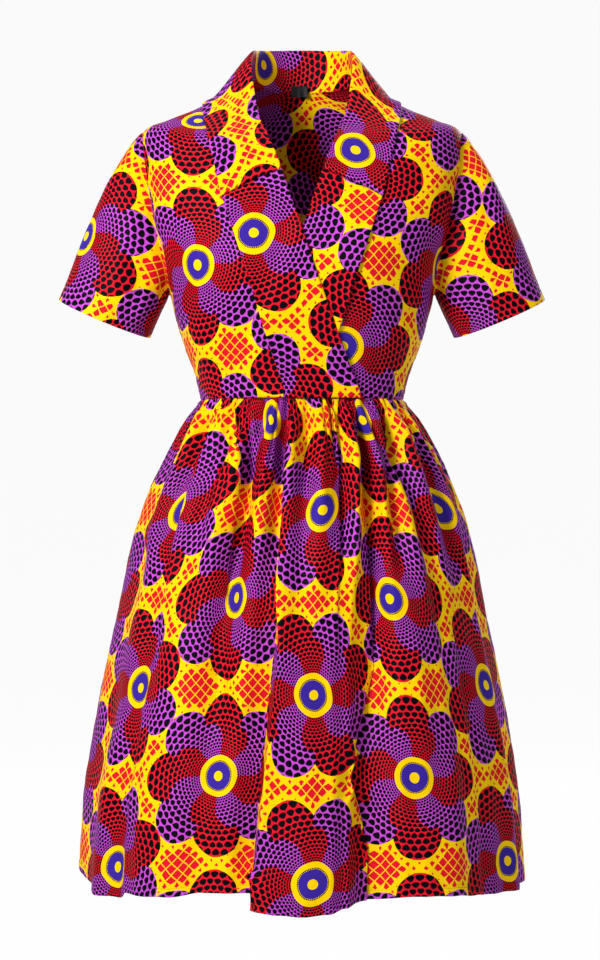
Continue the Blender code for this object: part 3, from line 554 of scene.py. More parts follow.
def smooth_step(value, low, high):
    """0 below low, 1 above high, and an even rise between."""
    share = np.clip((value - low) / (high - low), 0.0, 1.0)
    return share * share * (3 - 2 * share)


def hermite(start, lead, end, follow, share):
    """Points on the curve from start to end that leaves along lead and arrives along follow."""
    square, cube = share**2, share**3
    return (
        start * (2 * cube - 3 * square + 1)
        + lead * (cube - 2 * square + share)
        + end * (3 * square - 2 * cube)
        + follow * (cube - square)
    )


def curve_rows(table, share):
    """Rows of a table at shares from 0 to 1, on a smooth curve through its rows."""
    rows = np.asarray(table, float)
    rows = rows.reshape(len(rows), -1)
    place = np.clip(share, 0.0, 1.0) * (len(rows) - 1)
    first = np.minimum(place.astype(int), len(rows) - 2)
    ends = np.vstack([2 * rows[:1] - rows[1:2], rows, 2 * rows[-1:] - rows[-2:-1]])
    before, start, end, after = (ends[first + shift] for shift in range(4))
    return hermite(start, (end - before) / 2, end, (after - start) / 2, (place - first)[..., None])


def read_curve(value, table):
    """Columns of a table at values of its first column, on smooth curves without overshoot."""
    places, columns = table[:, 0], table[:, 1:]
    slopes = np.diff(columns, axis=0) / np.diff(places)[:, None]
    lead = np.vstack([slopes[:1], (slopes[1:] + slopes[:-1]) / 2, slopes[-1:]])
    first = np.clip(np.searchsorted(places, value, side="right") - 1, 0, len(places) - 2)
    gap = (places[first + 1] - places[first])[..., None]
    part = (value - places[first])[..., None] / gap
    start, end = columns[first], columns[first + 1]
    return hermite(start, lead[first] * gap, end, lead[first + 1] * gap, part)


def crowded(count, start=0.0, end=0.0):
    """Shares from 0 to 1 that crowd together towards the start or the end."""
    middle = (np.arange(count) + 0.5) / count
    gaps = 1 - start * np.exp(-middle / CROWD_REACH) - end * np.exp(-(1 - middle) / CROWD_REACH)
    return np.concatenate([[0.0], np.cumsum(gaps)]) / gaps.sum()


def unit(vectors):
    """The vectors at length 1."""
    return vectors / np.maximum(np.linalg.norm(vectors, axis=-1, keepdims=True), 1e-12)


def mirrored(points):
    """The points turned over from the wearer's left to the right."""
    return points * (-1, 1, 1)


def lengths(points, axis):
    """The way along each row or column of a grid of points, in metres."""
    steps = np.linalg.norm(np.diff(points, axis=axis), axis=2)
    return np.pad(np.cumsum(steps, axis), ((1, 0), (0, 0)) if axis == 0 else ((0, 0), (1, 0)))


def grid_normals(points, closed=False):
    """The directions that a grid of points faces, from its neighbours."""
    if closed:
        round_it = np.roll(points, -1, 1) - np.roll(points, 1, 1)
    else:
        round_it = np.gradient(points, axis=1)
    return unit(np.cross(round_it, np.gradient(points, axis=0)))


def form_points(turn, ring):
    """Points of the form. The turn is 0 at the wearer's left side, 90 degrees at the front
    and -90 at the back, in radians, and the ring counts up from the waist."""
    turn, ring = np.asarray(turn, float), np.asarray(ring, float)
    row = np.moveaxis(curve_rows(FORM_RINGS, ring / NECK_RING), -1, 0)
    half_width, side_z, front_depth, front_z, back_depth, back_z, square = row
    across, ahead = np.cos(turn), np.sin(turn)
    depth = np.where(ahead > 0, front_depth, back_depth)
    middle_z = np.where(ahead > 0, front_z, back_z)
    x = half_width * across * (1 + square * ahead**2)
    y = -depth * ahead * (1 + square * across**2)
    z = side_z * across**2 + middle_z * ahead**2
    reach = np.hypot(np.abs(x) - BUST_OUT, z - BUST_Z) / BUST_SPREAD
    y = y - BUST_RISE * np.exp(-(reach**2)) * np.maximum(ahead, 0)
    return np.stack([x, y, z], -1)


def form_normals(turn, ring):
    """The outward directions of the form. At the waist seam they are level."""
    low, high = np.maximum(ring - NORMAL_STEP, 0.0), np.minimum(ring + NORMAL_STEP, NECK_RING)
    round_it = form_points(turn + NORMAL_STEP, ring) - form_points(turn - NORMAL_STEP, ring)
    up = form_points(turn, high) - form_points(turn, low)
    outward = unit(np.cross(up, round_it))
    outward[..., 2] *= smooth_step(ring, 0.0, LEVEL_RINGS)
    return unit(outward)


def turn_and_ring(x, z, start):
    """Where on the front of the form a point seen at x, z lies, searched from start."""
    turn, ring = start
    for _ in range(SEARCH_ROUNDS):
        here = form_points(turn, ring)
        miss = np.array([x - here[0], z - here[2]])
        if np.abs(miss).max() < SEARCH_MISS:
            break
        by_turn = (form_points(turn + SEARCH_STEP, ring) - here) / SEARCH_STEP
        by_ring = (form_points(turn, ring - SEARCH_STEP) - here) / -SEARCH_STEP
        slopes = np.array([[by_turn[0], by_ring[0]], [by_turn[2], by_ring[2]]])
        change = np.linalg.lstsq(slopes, miss, rcond=None)[0]
        change = np.clip(change, -MOST_CHANGE, MOST_CHANGE)
        turn = max(turn + float(change[0]), LEAST_TURN)
        ring = float(np.clip(ring + change[1], 0.0, NECK_RING))
    return turn, ring


def traced(points, start):
    """Places on the form under a line of points seen from the front."""
    found = []
    for x, z in points:
        start = turn_and_ring(x, z, start)
        found.append(start)
    return np.array(found)


def wrap_places():
    """Places of the wrap edge, from the neck point to the waist."""
    shares = np.linspace(0.0, 1.0, WRAP_STEPS + 1)
    places = traced(curve_rows(WRAP_EDGE, shares), WRAP_START)
    places[0] = (0.0, NECK_RING)
    return places


def along(places, share):
    """Places at shares of a list of places, straight between neighbours."""
    share, spots = np.asarray(share, float), np.linspace(0.0, 1.0, len(places))
    return np.stack([np.interp(share, spots, column) for column in places.T], -1)


def straight(start, end):
    """A straight line between two places, as a function of the share."""
    start, end = np.array(start, float), np.array(end, float)
    return lambda share: start + (end - start) * np.asarray(share, float)[..., None]


def patch(left, right, bottom, top, across, up):
    """Places filled in between four edges, at the shares given across and up."""
    s, q = across[None, :, None], up[:, None, None]
    zero, one = np.array([0.0]), np.array([1.0])
    sides = (1 - s) * left(up)[:, None] + s * right(up)[:, None]
    ends = (1 - q) * bottom(across)[None] + q * top(across)[None]
    low = (1 - s) * bottom(zero) + s * bottom(one)
    high = (1 - s) * top(zero) + s * top(one)
    return sides + ends - (1 - q) * low - q * high


def armhole(share, degrees):
    """Places on an armhole edge, from the armpit at 0 to the shoulder tip at 1."""
    share = np.asarray(share, float)
    ring = ARMPIT_RING + (TIP_RING - ARMPIT_RING) * (1 - np.cos(math.pi * share)) / 2
    return np.stack([np.radians(curve_rows(degrees, share)[..., 0]), ring], -1)


def lower_edge(share, degrees):
    """The side seam and then the lower half of the armhole, from the waist up."""
    share = np.asarray(share, float)
    seam = straight((0.0, 0.0), (0.0, ARMPIT_RING))(np.minimum(share / ARMPIT_SHARE, 1.0))
    curved = armhole(np.maximum(share - ARMPIT_SHARE, 0.0) / (1 - ARMPIT_SHARE) / 2, degrees)
    return np.where((share < ARMPIT_SHARE)[..., None], seam, curved)


def outer_edge(share, degrees):
    """The side seam and the whole armhole edge, from the waist up to the shoulder tip."""
    share = np.asarray(share, float)
    lower = lower_edge(np.minimum(share / ARMHOLE_SHARE, 1.0), degrees)
    upper_share = 0.5 + np.maximum(share - ARMHOLE_SHARE, 0.0) / (1 - ARMHOLE_SHARE) / 2
    return np.where((share < ARMHOLE_SHARE)[..., None], lower, armhole(upper_share, degrees))


class FrontPlaces:
    """Places of the wearer's left front in four patches that meet at the lapel's tip."""

    def __init__(self):
        wrap = wrap_places()
        shares = np.linspace(0.0, 1.0, LAPEL_STEPS + 1)[:, None]
        edge = traced(LAPEL_TIP + (LAPEL_FOOT - LAPEL_TIP) * shares, LAPEL_START)
        gorge = int(np.argmax(form_points(wrap[:, 0], wrap[:, 1])[:, 2] <= GORGE_Z))
        roll, neckline = wrap[gorge:], wrap[: gorge + 1]
        foot, tip = edge[-1], edge[0]
        corner, collar_end = armhole(0.5, ARMHOLE_FRONT_DEG), (0.0, COLLAR_RING)
        outer, inner, low, high = (crowded(*columns) for columns in FRONT_COLUMNS)
        self.neckline = neckline

        def lapel_edge(share):
            return along(edge, 1 - share)

        self.lower_outer = patch(
            lambda share: lower_edge(share, ARMHOLE_FRONT_DEG),
            lapel_edge,
            straight((0.0, 0.0), foot),
            straight(corner, tip),
            outer,
            low,
        )
        self.lower_inner = patch(
            lapel_edge,
            lambda share: along(roll, 1 - share),
            straight(foot, roll[-1]),
            straight(tip, roll[0]),
            inner,
            low,
        )
        self.upper_outer = patch(
            lambda share: armhole(0.5 + share / 2, ARMHOLE_FRONT_DEG),
            straight(tip, collar_end),
            straight(corner, tip),
            straight((0.0, TIP_RING), collar_end),
            outer,
            high,
        )
        self.upper_inner = patch(
            straight(tip, collar_end),
            lambda share: along(neckline, 1 - share),
            straight(tip, roll[0]),
            straight(collar_end, (0.0, NECK_RING)),
            inner,
            high,
        )

    def whole(self):
        """The four patches as one grid."""
        lower = np.concatenate([self.lower_outer, self.lower_inner[:, 1:]], 1)
        upper = np.concatenate([self.upper_outer, self.upper_inner[:, 1:]], 1)
        return np.concatenate([lower, upper[1:]], 0)


def back_places():
    """Places of half of the back, from the side to the centre back."""

    def top(share):
        shoulder = straight((0.0, TIP_RING), (0.0, NECK_RING))(np.minimum(2 * share, 1.0))
        neck_share = np.maximum(2 * share - 1, 0.0)
        neck = straight((0.0, NECK_RING), (-math.pi / 2, NECK_RING))(neck_share)
        return np.where((share < 0.5)[..., None], shoulder, neck)

    return patch(
        lambda share: outer_edge(share, ARMHOLE_BACK_DEG) * (-1, 1),
        straight((-math.pi / 2, 0.0), (-math.pi / 2, NECK_RING)),
        straight((0.0, 0.0), (-math.pi / 2, 0.0)),
        top,
        *(crowded(*columns) for columns in BACK_COLUMNS),
    )


def flat_places(turn, ring):
    """The way round and up the cloth of the bodice to each place, in metres. Round the
    body it is counted from the middle of the front."""
    turns = np.linspace(-math.pi / 2, math.pi, FLAT_TURNS)
    rings = np.linspace(0, NECK_RING, FLAT_RINGS)
    grid = form_points(*np.meshgrid(turns, rings))
    round_it, up = lengths(grid, 1), lengths(grid, 0)
    middle = (FLAT_TURNS - 1) * 2 // 3
    round_it -= round_it[:, middle : middle + 1]
    column = np.clip((turn - turns[0]) / (turns[1] - turns[0]), 0, len(turns) - 1.001)
    row = np.clip(ring / (rings[1] - rings[0]), 0, len(rings) - 1.001)
    c, r = column.astype(int), row.astype(int)
    dc, dr = column - c, row - r
    spots = []
    for table in (round_it, up):
        low = table[r, c] * (1 - dc) + table[r, c + 1] * dc
        high = table[r + 1, c] * (1 - dc) + table[r + 1, c + 1] * dc
        spots.append(low * (1 - dr) + high * dr)
    return np.stack(spots, -1)


def crease_height(a, b, creases):
    """How far a set of creases moves each point out, in metres. a and b are in metres. A
    crease widens on its way, and is shallow at both ends."""
    height = np.zeros_like(a)
    for crease in starmap(Crease, creases):
        start = np.array((crease.a0, crease.b0)) / 1000
        end = np.array((crease.a1, crease.b1)) / 1000
        run = np.linalg.norm(end - start)
        way = (end - start) / run
        share = ((a - start[0]) * way[0] + (b - start[1]) * way[1]) / run
        inside = np.clip(share, 0.0, 1.0)
        bow = crease.bow / 1000 * np.sin(math.pi * inside)
        off = (a - start[0]) * -way[1] + (b - start[1]) * way[0] - bow
        beyond = (share - inside) * run
        width = crease.width / 1000 * (0.75 + 0.5 * inside)
        reach = (off**2 + beyond**2) / width**2
        ends = 0.25 + 0.75 * np.sin(math.pi * (0.08 + 0.84 * inside))
        height += crease.rise / 1000 * ends * np.exp(-reach)
    return height


def billow(a, b, size):
    """A slow uneven rise and fall of cloth, in metres: two pairs of crossed waves, whose
    paces and starts are picked so that nothing repeats on a piece."""
    slow = np.sin(61 * a + 1.3 * np.sin(38 * b) + 0.4) * np.sin(47 * b + 1.1 * np.sin(52 * a))
    quick = np.sin(133 * a - 96 * b + 1.7) * np.sin(88 * a + 121 * b)
    return size * (0.7 * slow + 0.3 * quick)


def puckers(way, away, size):
    """Small uneven puckers along a seam: way is the length along it, away the distance."""
    drift = 1.7 * np.sin(way * 2 * math.pi / PUCKER_DRIFT)
    wave = np.sin(way * 2 * math.pi / PUCKER_SPACING + drift)
    spell = 0.55 + 0.45 * np.sin(way * 2 * math.pi / PUCKER_SPELL + 0.9)
    return size * wave * spell * np.exp(-away / PUCKER_REACH) * (1 - np.exp(-away / PUCKER_START))


def rounded(away, reach):
    """The drop of a rounded edge, from 1 at the edge to 0 at the reach from it."""
    return 1 - np.sqrt(1 - np.clip(1 - away / reach, 0.0, 1.0) ** 2)


def sewn_edge(way, away, sizes):
    """How far the cloth moves out beside a seam: it turns in at the seam, with puckers."""
    return puckers(way, away, sizes.pucker) - sizes.seam_depth * rounded(away, sizes.seam_roll)


def free_edge(to_edge, rise):
    """How far a folded free edge stands off what it lies on, with its brim pressed round."""
    return rise * np.exp(-to_edge / FREE_EDGE_REACH) - BRIM_DEPTH * rounded(to_edge, BRIM_WIDTH)


def seam_relief(points, sizes, sides):
    """How far the cloth moves out near its edges. The sides are four numbers, 1 where the
    first or last column or row is a seam."""
    across, up = lengths(points, 1), lengths(points, 0)
    aways = (across, across[:, -1:] - across, up, up[-1:] - up)
    ways = (up, up, across, across)
    return sum(
        seam * sewn_edge(way, away, sizes) for away, way, seam in zip(aways, ways, sides) if seam
    )


def set_inputs(tree, node, inputs):
    """Links or sets each named input of a shader node."""
    for socket, value in inputs.items():
        if isinstance(value, bpy.types.NodeSocket):
            tree.links.new(value, node.inputs[socket])
        else:
            node.inputs[socket].default_value = value


def add_node(tree, kind, inputs=None, **settings):
    """Adds one shader node with its settings, input values and links, and returns it."""
    made = tree.nodes.new("ShaderNode" + kind)
    for name, value in settings.items():
        setattr(made, name, value)
    set_inputs(tree, made, inputs or {})
    return made


def new_material(name):
    """A new material, its node tree and its shader."""
    made = bpy.data.materials.new(name)
    made.use_nodes = True
    return made, made.node_tree, made.node_tree.nodes["Principled BSDF"]


def print_steps(sizes):
    """The sums behind the print, in order: name, operation and inputs, from the way across
    and down the cloth in metres. Flowers stand on two crossed lattices, a half drop."""
    wide, half_row = sizes.motif_column, sizes.motif_row / 2
    round_seeds = sizes.seeds / (2 * math.pi)
    return (
        ("ax", "WRAP", "u", wide, -wide),
        ("ay", "WRAP", "v", half_row, -half_row),
        ("u_next", "ADD", "u", wide),
        ("v_next", "ADD", "v", half_row),
        ("bx", "WRAP", "u_next", wide, -wide),
        ("by", "WRAP", "v_next", half_row, -half_row),
        ("ax_square", "MULTIPLY", "ax", "ax"),
        ("a_square", "MULTIPLY_ADD", "ay", "ay", "ax_square"),
        ("bx_square", "MULTIPLY", "bx", "bx"),
        ("b_square", "MULTIPLY_ADD", "by", "by", "bx_square"),
        ("second", "LESS_THAN", "b_square", "a_square"),
        ("x_change", "SUBTRACT", "bx", "ax"),
        ("x", "MULTIPLY_ADD", "second", "x_change", "ax"),
        ("y_change", "SUBTRACT", "by", "ay"),
        ("y", "MULTIPLY_ADD", "second", "y_change", "ay"),
        ("r_square", "MINIMUM", "a_square", "b_square"),
        ("r", "SQRT", "r_square"),
        ("angle", "ARCTAN2", "y", "x"),
        ("turned", "MULTIPLY_ADD", "second", math.pi / 8, "angle"),
        # Eight outer petals, and eight inner ones between them.
        ("round_4", "MULTIPLY", "turned", 4.0),
        ("outer_wave", "COSINE", "round_4"),
        ("inner_wave", "SINE", "round_4"),
        ("outer_size", "ABSOLUTE", "outer_wave"),
        ("outer_soft", "POWER", "outer_size", PETAL_POWER),
        ("rim", "MULTIPLY_ADD", "outer_soft", PETAL_DEPTH, PETAL_START),
        ("inner_size", "ABSOLUTE", "inner_wave"),
        ("inner_soft", "POWER", "inner_size", PETAL_POWER),
        ("inner_rim", "MULTIPLY_ADD", "inner_soft", HEART_DEPTH, HEART_START),
        ("flower", "LESS_THAN", "r", "rim"),
        ("heart", "LESS_THAN", "r", "inner_rim"),
        ("outer_red", "GREATER_THAN", "outer_wave", 0.0),
        ("inner_red", "GREATER_THAN", "inner_wave", 0.0),
        ("red_change", "SUBTRACT", "inner_red", "outer_red"),
        ("is_red", "MULTIPLY_ADD", "heart", "red_change", "outer_red"),
        ("red_petal", "MULTIPLY", "is_red", "flower"),
        # Rows of seeds, which grow with their distance from the middle.
        ("log_r", "LOGARITHM", "r", math.e),
        ("band", "MULTIPLY", "log_r", round_seeds / SEED_HEIGHT),
        ("band_start", "FLOOR", "band"),
        ("odd", "FLOORED_MODULO", "band_start", 2.0),
        ("spoke_even", "MULTIPLY", "turned", round_seeds),
        ("spoke", "MULTIPLY_ADD", "odd", 0.5, "spoke_even"),
        ("spoke_part", "FRACT", "spoke"),
        ("seed_x", "SUBTRACT", "spoke_part", 0.5),
        ("band_part", "FRACT", "band"),
        ("seed_y", "SUBTRACT", "band_part", 0.5),
        ("seed_width", "MULTIPLY_ADD", "seed_y", SEED_FLARE, SEED_HALF_WIDTH),
        ("across", "DIVIDE", "seed_x", "seed_width"),
        ("up", "DIVIDE", "seed_y", SEED_HALF_HEIGHT),
        ("across_square", "MULTIPLY", "across", "across"),
        ("seed_reach", "MULTIPLY_ADD", "up", "up", "across_square"),
        ("seed_all", "LESS_THAN", "seed_reach", 1.0),
        ("seed", "MULTIPLY", "seed_all", "flower"),
        ("ring", "LESS_THAN", "r", RING_RADIUS),
        ("inner_ring", "LESS_THAN", "r", RING_SEED_RADIUS),
        ("ring_seed", "MULTIPLY", "seed_all", "inner_ring"),
        ("eye", "LESS_THAN", "r", EYE_RADIUS),
        ("dot", "LESS_THAN", "r", DOT_RADIUS),
        # Diamonds of the ground, which grow with their distance from a flower.
        ("slant_up", "ADD", "u", "v"),
        ("slant_down", "SUBTRACT", "u", "v"),
        ("up_cell", "DIVIDE", "slant_up", sizes.diamond),
        ("down_cell", "DIVIDE", "slant_down", sizes.diamond),
        ("up_wave", "PINGPONG", "up_cell", 0.5),
        ("down_wave", "PINGPONG", "down_cell", 0.5),
        ("cell_edge", "MINIMUM", "up_wave", "down_wave"),
        ("from_rim", "SUBTRACT", "r", "rim"),
        ("away", "DIVIDE", "from_rim", DIAMOND_REACH),
        ("away_most", "MINIMUM", "away", 1.0),
        ("gap", "MULTIPLY_ADD", "away_most", -DIAMOND_GROWTH, DIAMOND_GAP),
        ("diamond", "GREATER_THAN", "cell_edge", "gap"),
    )


def wax_printed_cotton(colours, sizes):
    """Plain weave cotton, wax printed and calendered: strong flat colours on both sides,
    a soft gloss where the cloth turns to the light, and a fine even weave."""
    made = bpy.data.materials.get("wax_printed_cotton")
    if made:
        return made
    made, tree, shader = new_material("wax_printed_cotton")
    cloth = add_node(tree, "UVMap", uv_map="Cloth").outputs[0]
    # The hand-cut blocks of a wax print wander by a millimetre or two.
    wander = add_node(tree, "TexNoise", {"Vector": cloth, "Scale": WANDER_SCALE, "Detail": 1.0})
    wandering = {0: wander.outputs["Color"], 1: WANDER, 2: cloth}
    shift = add_node(tree, "VectorMath", wandering, operation="MULTIPLY_ADD")
    split = add_node(tree, "SeparateXYZ", {0: shift.outputs[0]})
    values = {"u": split.outputs[0], "v": split.outputs[1]}
    for name, operation, *inputs in print_steps(sizes):
        inputs = {place: values.get(value, value) for place, value in enumerate(inputs)}
        values[name] = add_node(tree, "Math", inputs, operation=operation).outputs[0]
    shade = (*colours.yellow, 1.0)
    for place, name in PRINT_LAYERS:
        inputs = {0: values[place], 6: shade, 7: (*getattr(colours, name), 1.0)}
        shade = add_node(tree, "Mix", inputs, data_type="RGBA").outputs[2]
    # The dye takes a little unevenly.
    uneven = add_node(tree, "TexNoise", {"Vector": cloth, "Scale": DYE_SCALE, "Detail": 4.0})
    inputs = {"Value": uneven.outputs[0], "To Min": DYE_LEAST, "To Max": DYE_MOST}
    depth = add_node(tree, "MapRange", inputs)
    inputs = {0: 1.0, 6: shade, 7: depth.outputs[0]}
    dyed = add_node(tree, "Mix", inputs, data_type="RGBA", blend_type="MULTIPLY")
    # Threads are 0.35 mm apart. They are drawn further apart, or none would show.
    weave = add_node(tree, "SeparateXYZ", {0: cloth})
    waves = []
    for side in (0, 1):
        inputs = {0: weave.outputs[side], 1: math.pi / THREAD_SPACING}
        turns = add_node(tree, "Math", inputs, operation="MULTIPLY").outputs[0]
        waves.append(add_node(tree, "Math", {0: turns}, operation="SINE").outputs[0])
    threads = add_node(tree, "Math", dict(enumerate(waves)), operation="MULTIPLY").outputs[0]
    bump = add_node(tree, "Bump", {"Strength": 0.10, "Distance": 0.0002, "Height": threads})
    inputs = {"Base Color": dyed.outputs[2], "Normal": bump.outputs[0]}
    set_inputs(tree, shader, {**inputs, "Roughness": 0.58, "Specular IOR Level": 0.05})
    return made


def woven_thread(name, shade, roughness, spacing):
    """Polyester thread, spun or woven: dark, close ribs, each with a thin painted highlight."""
    made = bpy.data.materials.get(name)
    if made:
        return made
    made, tree, shader = new_material(name)
    place = add_node(tree, "TexCoord").outputs["Object"]
    inputs = {"Vector": place, "Scale": RIB_SCALE / spacing, "Distortion": 0.6, "Detail": 1.0}
    ribs = add_node(tree, "TexWave", inputs, bands_direction="Z").outputs[1]
    # A lighter copy of the colour is painted along each rib: a painted highlight, not lighting.
    painted_rib_highlight = (*(min(part * 1.8 + 0.002, 1) for part in shade), 1.0)
    colours = add_node(tree, "Mix", {0: ribs, 6: (*shade, 1.0), 7: painted_rib_highlight}, data_type="RGBA")
    bump = add_node(tree, "Bump", {"Strength": 0.3, "Distance": 0.0002, "Height": ribs})
    inputs = {"Base Color": colours.outputs[2], "Normal": bump.outputs[0]}
    set_inputs(tree, shader, {**inputs, "Roughness": roughness, "Specular IOR Level": 0.2})
    return made


def matt_paint(name, shade, share, glow):
    """Matt white paint, rolled on, with a faint grain. Where it glows it hides shadows."""
    made, tree, shader = new_material(name)
    grain = add_node(tree, "TexNoise", {"Scale": 400.0})
    bump = add_node(tree, "Bump", {"Strength": 0.05, "Height": grain.outputs[0]})
    inputs = {
        "Normal": bump.outputs[0],
        "Base Color": (*(part * share for part in shade), 1.0),
        "Roughness": 0.9,
        "Emission Color": (*shade, 1.0),
        "Emission Strength": glow,
    }
    set_inputs(tree, shader, inputs)
    return made


def mesh_from_grid(name, points, flat, closed=False, flipped=False):
    """A mesh through a grid of points, with its flat places as the UV map of the cloth."""
    rows, columns = points.shape[:2]
    last = columns if closed else columns - 1
    r, c = np.meshgrid(np.arange(rows - 1), np.arange(last), indexing="ij")
    corners = ((0, 0), (0, 1), (1, 1), (1, 0))
    corners = corners[::-1] if flipped else corners
    faces = np.stack([(r + up) * columns + (c + on) % columns for up, on in corners], -1)
    spots = np.stack([(r + up) * flat.shape[1] + c + on for up, on in corners], -1)
    mesh = bpy.data.meshes.new(name)
    mesh.from_pydata(points.reshape(-1, 3).tolist(), [], faces.reshape(-1, 4).tolist())
    layer = mesh.uv_layers.new(name="Cloth")
    layer.data.foreach_set("uv", flat.reshape(-1, 2)[spots.reshape(-1)].reshape(-1))
    mesh.shade_smooth()
    return mesh


def placed(name, data):
    """An object of a mesh, lamp or camera, linked to the scene."""
    made = bpy.data.objects.new(name, data)
    bpy.context.scene.collection.objects.link(made)
    return made


def cloth_piece(
    node, points, flat, thickness, closed=False, flipped=False, side=1.0, satin=None
):
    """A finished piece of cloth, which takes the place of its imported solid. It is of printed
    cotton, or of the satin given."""
    scene, name, cut = bpy.context.scene, node + "_cloth", CUTS[node]
    mesh = mesh_from_grid(name, points, flat + np.array(cut.print_shift), closed, flipped)
    piece = placed(name, mesh)
    wall = piece.modifiers.new("Ply", "SOLIDIFY")
    wall.thickness, wall.offset = thickness, side
    cotton = satin or wax_printed_cotton(scene.dress_colours, scene.dress_sizes)
    mesh.materials.append(cotton)
    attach(piece, "root")
    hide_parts(node)


def over_height(points):
    """How far the wearer's right front rises to pass over the left front and its lapel.
    The points are mirrored, as that front is made on the left and then turned over."""
    wrap_x = np.interp(points[..., 2], WRAP_EDGE[::-1, 1], WRAP_EDGE[::-1, 0])
    return WRAP_RISE * smooth_step(-points[..., 0] - wrap_x, *WRAP_RISE_SPAN)


def front_grid(places, creases, sizes, over):
    """The points and flat places of a front, with its creases and seams."""
    turn, ring = places[..., 0], places[..., 1]
    points, normals = form_points(turn, ring), form_normals(turn, ring)
    height = CLOTH_LIFT + seam_relief(points, sizes, (1, 0, 1, 1))
    height += crease_height(points[..., 0], points[..., 2], creases)
    height += billow(points[..., 0], points[..., 2], FRONT_BILLOW)
    if over:
        height += over_height(points)
    return points + normals * height[..., None], flat_places(turn, ring)


def lapel_grid(front, creases, sizes, over):
    """The points and flat places of a lapel, folded back over the edge of its front."""
    places = front.lower_inner[:, ::-1]
    turn, ring = places[..., 0], places[..., 1]
    points, normals = form_points(turn, ring), form_normals(turn, ring)
    height = PLY + crease_height(points[..., 0], points[..., 2], creases)
    height += billow(points[..., 0], points[..., 2], FRONT_BILLOW)
    if over:
        height += over_height(points)
    # The free edge stands a little off the front, and its corner most.
    across = lengths(points, 1)
    up_share = np.linspace(0.0, 1.0, len(points))[:, None]
    rise = LAPEL_RISE * smooth_step(up_share, 0.0, 0.3)
    height += free_edge(across[:, -1:] - across, rise)
    height += seam_relief(points, sizes, (0, 0, 1, 0.6))
    points = points + normals * height[..., None]
    flat = flat_places(turn, ring)
    # The fold itself is a quarter round, from the lapel down to the front's edge.
    outward = unit(points[:, :1] - points[:, 1:2])
    down = np.array((0.0, 1.0, 0.0))
    down = unit(down - outward * (outward @ down)[..., None])
    angles = np.radians((90, 72, 54, 36, 18))[None, :, None]
    fold = points[:, :1] + outward * PLY * np.sin(angles) + down * PLY * (1 - np.cos(angles))
    step = flat[:, :1] - flat[:, 1:2]
    step = step / np.linalg.norm(step, axis=-1, keepdims=True)
    fold_flat = flat[:, :1] + step * PLY * angles
    return np.concatenate([fold, points], 1), np.concatenate([fold_flat, flat], 1)


def form_tree():
    """The whole form as a search tree, to keep loose cloth clear of it."""
    turn = np.linspace(0, 2 * math.pi, TREE_TURNS, endpoint=False)
    points = form_points(*np.meshgrid(turn, np.linspace(0, NECK_RING, TREE_RINGS + 1)))
    faces = []
    for row in range(TREE_RINGS):
        for column in range(TREE_TURNS):
            start, beside = row * TREE_TURNS, (column + 1) % TREE_TURNS
            above = start + TREE_TURNS
            faces.append((start + column, above + column, above + beside, start + beside))
    return BVHTree.FromPolygons(points.reshape(-1, 3).tolist(), faces)


def kept_clear(points, tree, height):
    """The points, moved out where they are lower than a height over the form."""
    moved = points.reshape(-1, 3).copy()
    for index, point in enumerate(moved):
        spot, normal, _, _ = tree.find_nearest(Vector(point))
        if (Vector(point) - spot).dot(normal) < height:
            moved[index] = spot + normal * height
    return moved.reshape(points.shape)


def collar_half(front, shares, stand, fall):
    """Points of half of the collar: up the stand, over the roll and down the fall."""
    table = curve_rows(COLLAR_SECTIONS, shares)
    roll, edge = table[:, :3], table[:, 3:]
    turn = -math.pi / 2 * (1 - np.minimum(shares / COLLAR_BACK_SHARE, 1.0))
    behind = form_points(turn, np.full_like(turn, NECK_RING))
    behind = behind - unit(behind * (1, 1, 0)) * SEAM_GAP
    part = np.clip((shares - COLLAR_BACK_SHARE) / (1 - COLLAR_BACK_SHARE), 0.0, 1.0)
    places = along(front.neckline, part)
    ahead = form_points(places[:, 0], places[:, 1])
    ahead[:, 0] -= SEAM_GAP + PLY * part
    seam = np.where((shares < COLLAR_BACK_SHARE)[:, None], behind, ahead)
    level = unit((edge - roll) * (1, 1, 0))
    softness = np.minimum(ROLL_SOFTNESS, np.linalg.norm(roll - seam, axis=1))[:, None]
    columns = [hermite(seam, roll - seam, roll, level * softness, step) for step in stand]
    for step in fall:
        columns.append(hermite(roll, level * softness * 2, edge, (edge - roll) * 0.9, step))
    return np.stack(columns, 1)


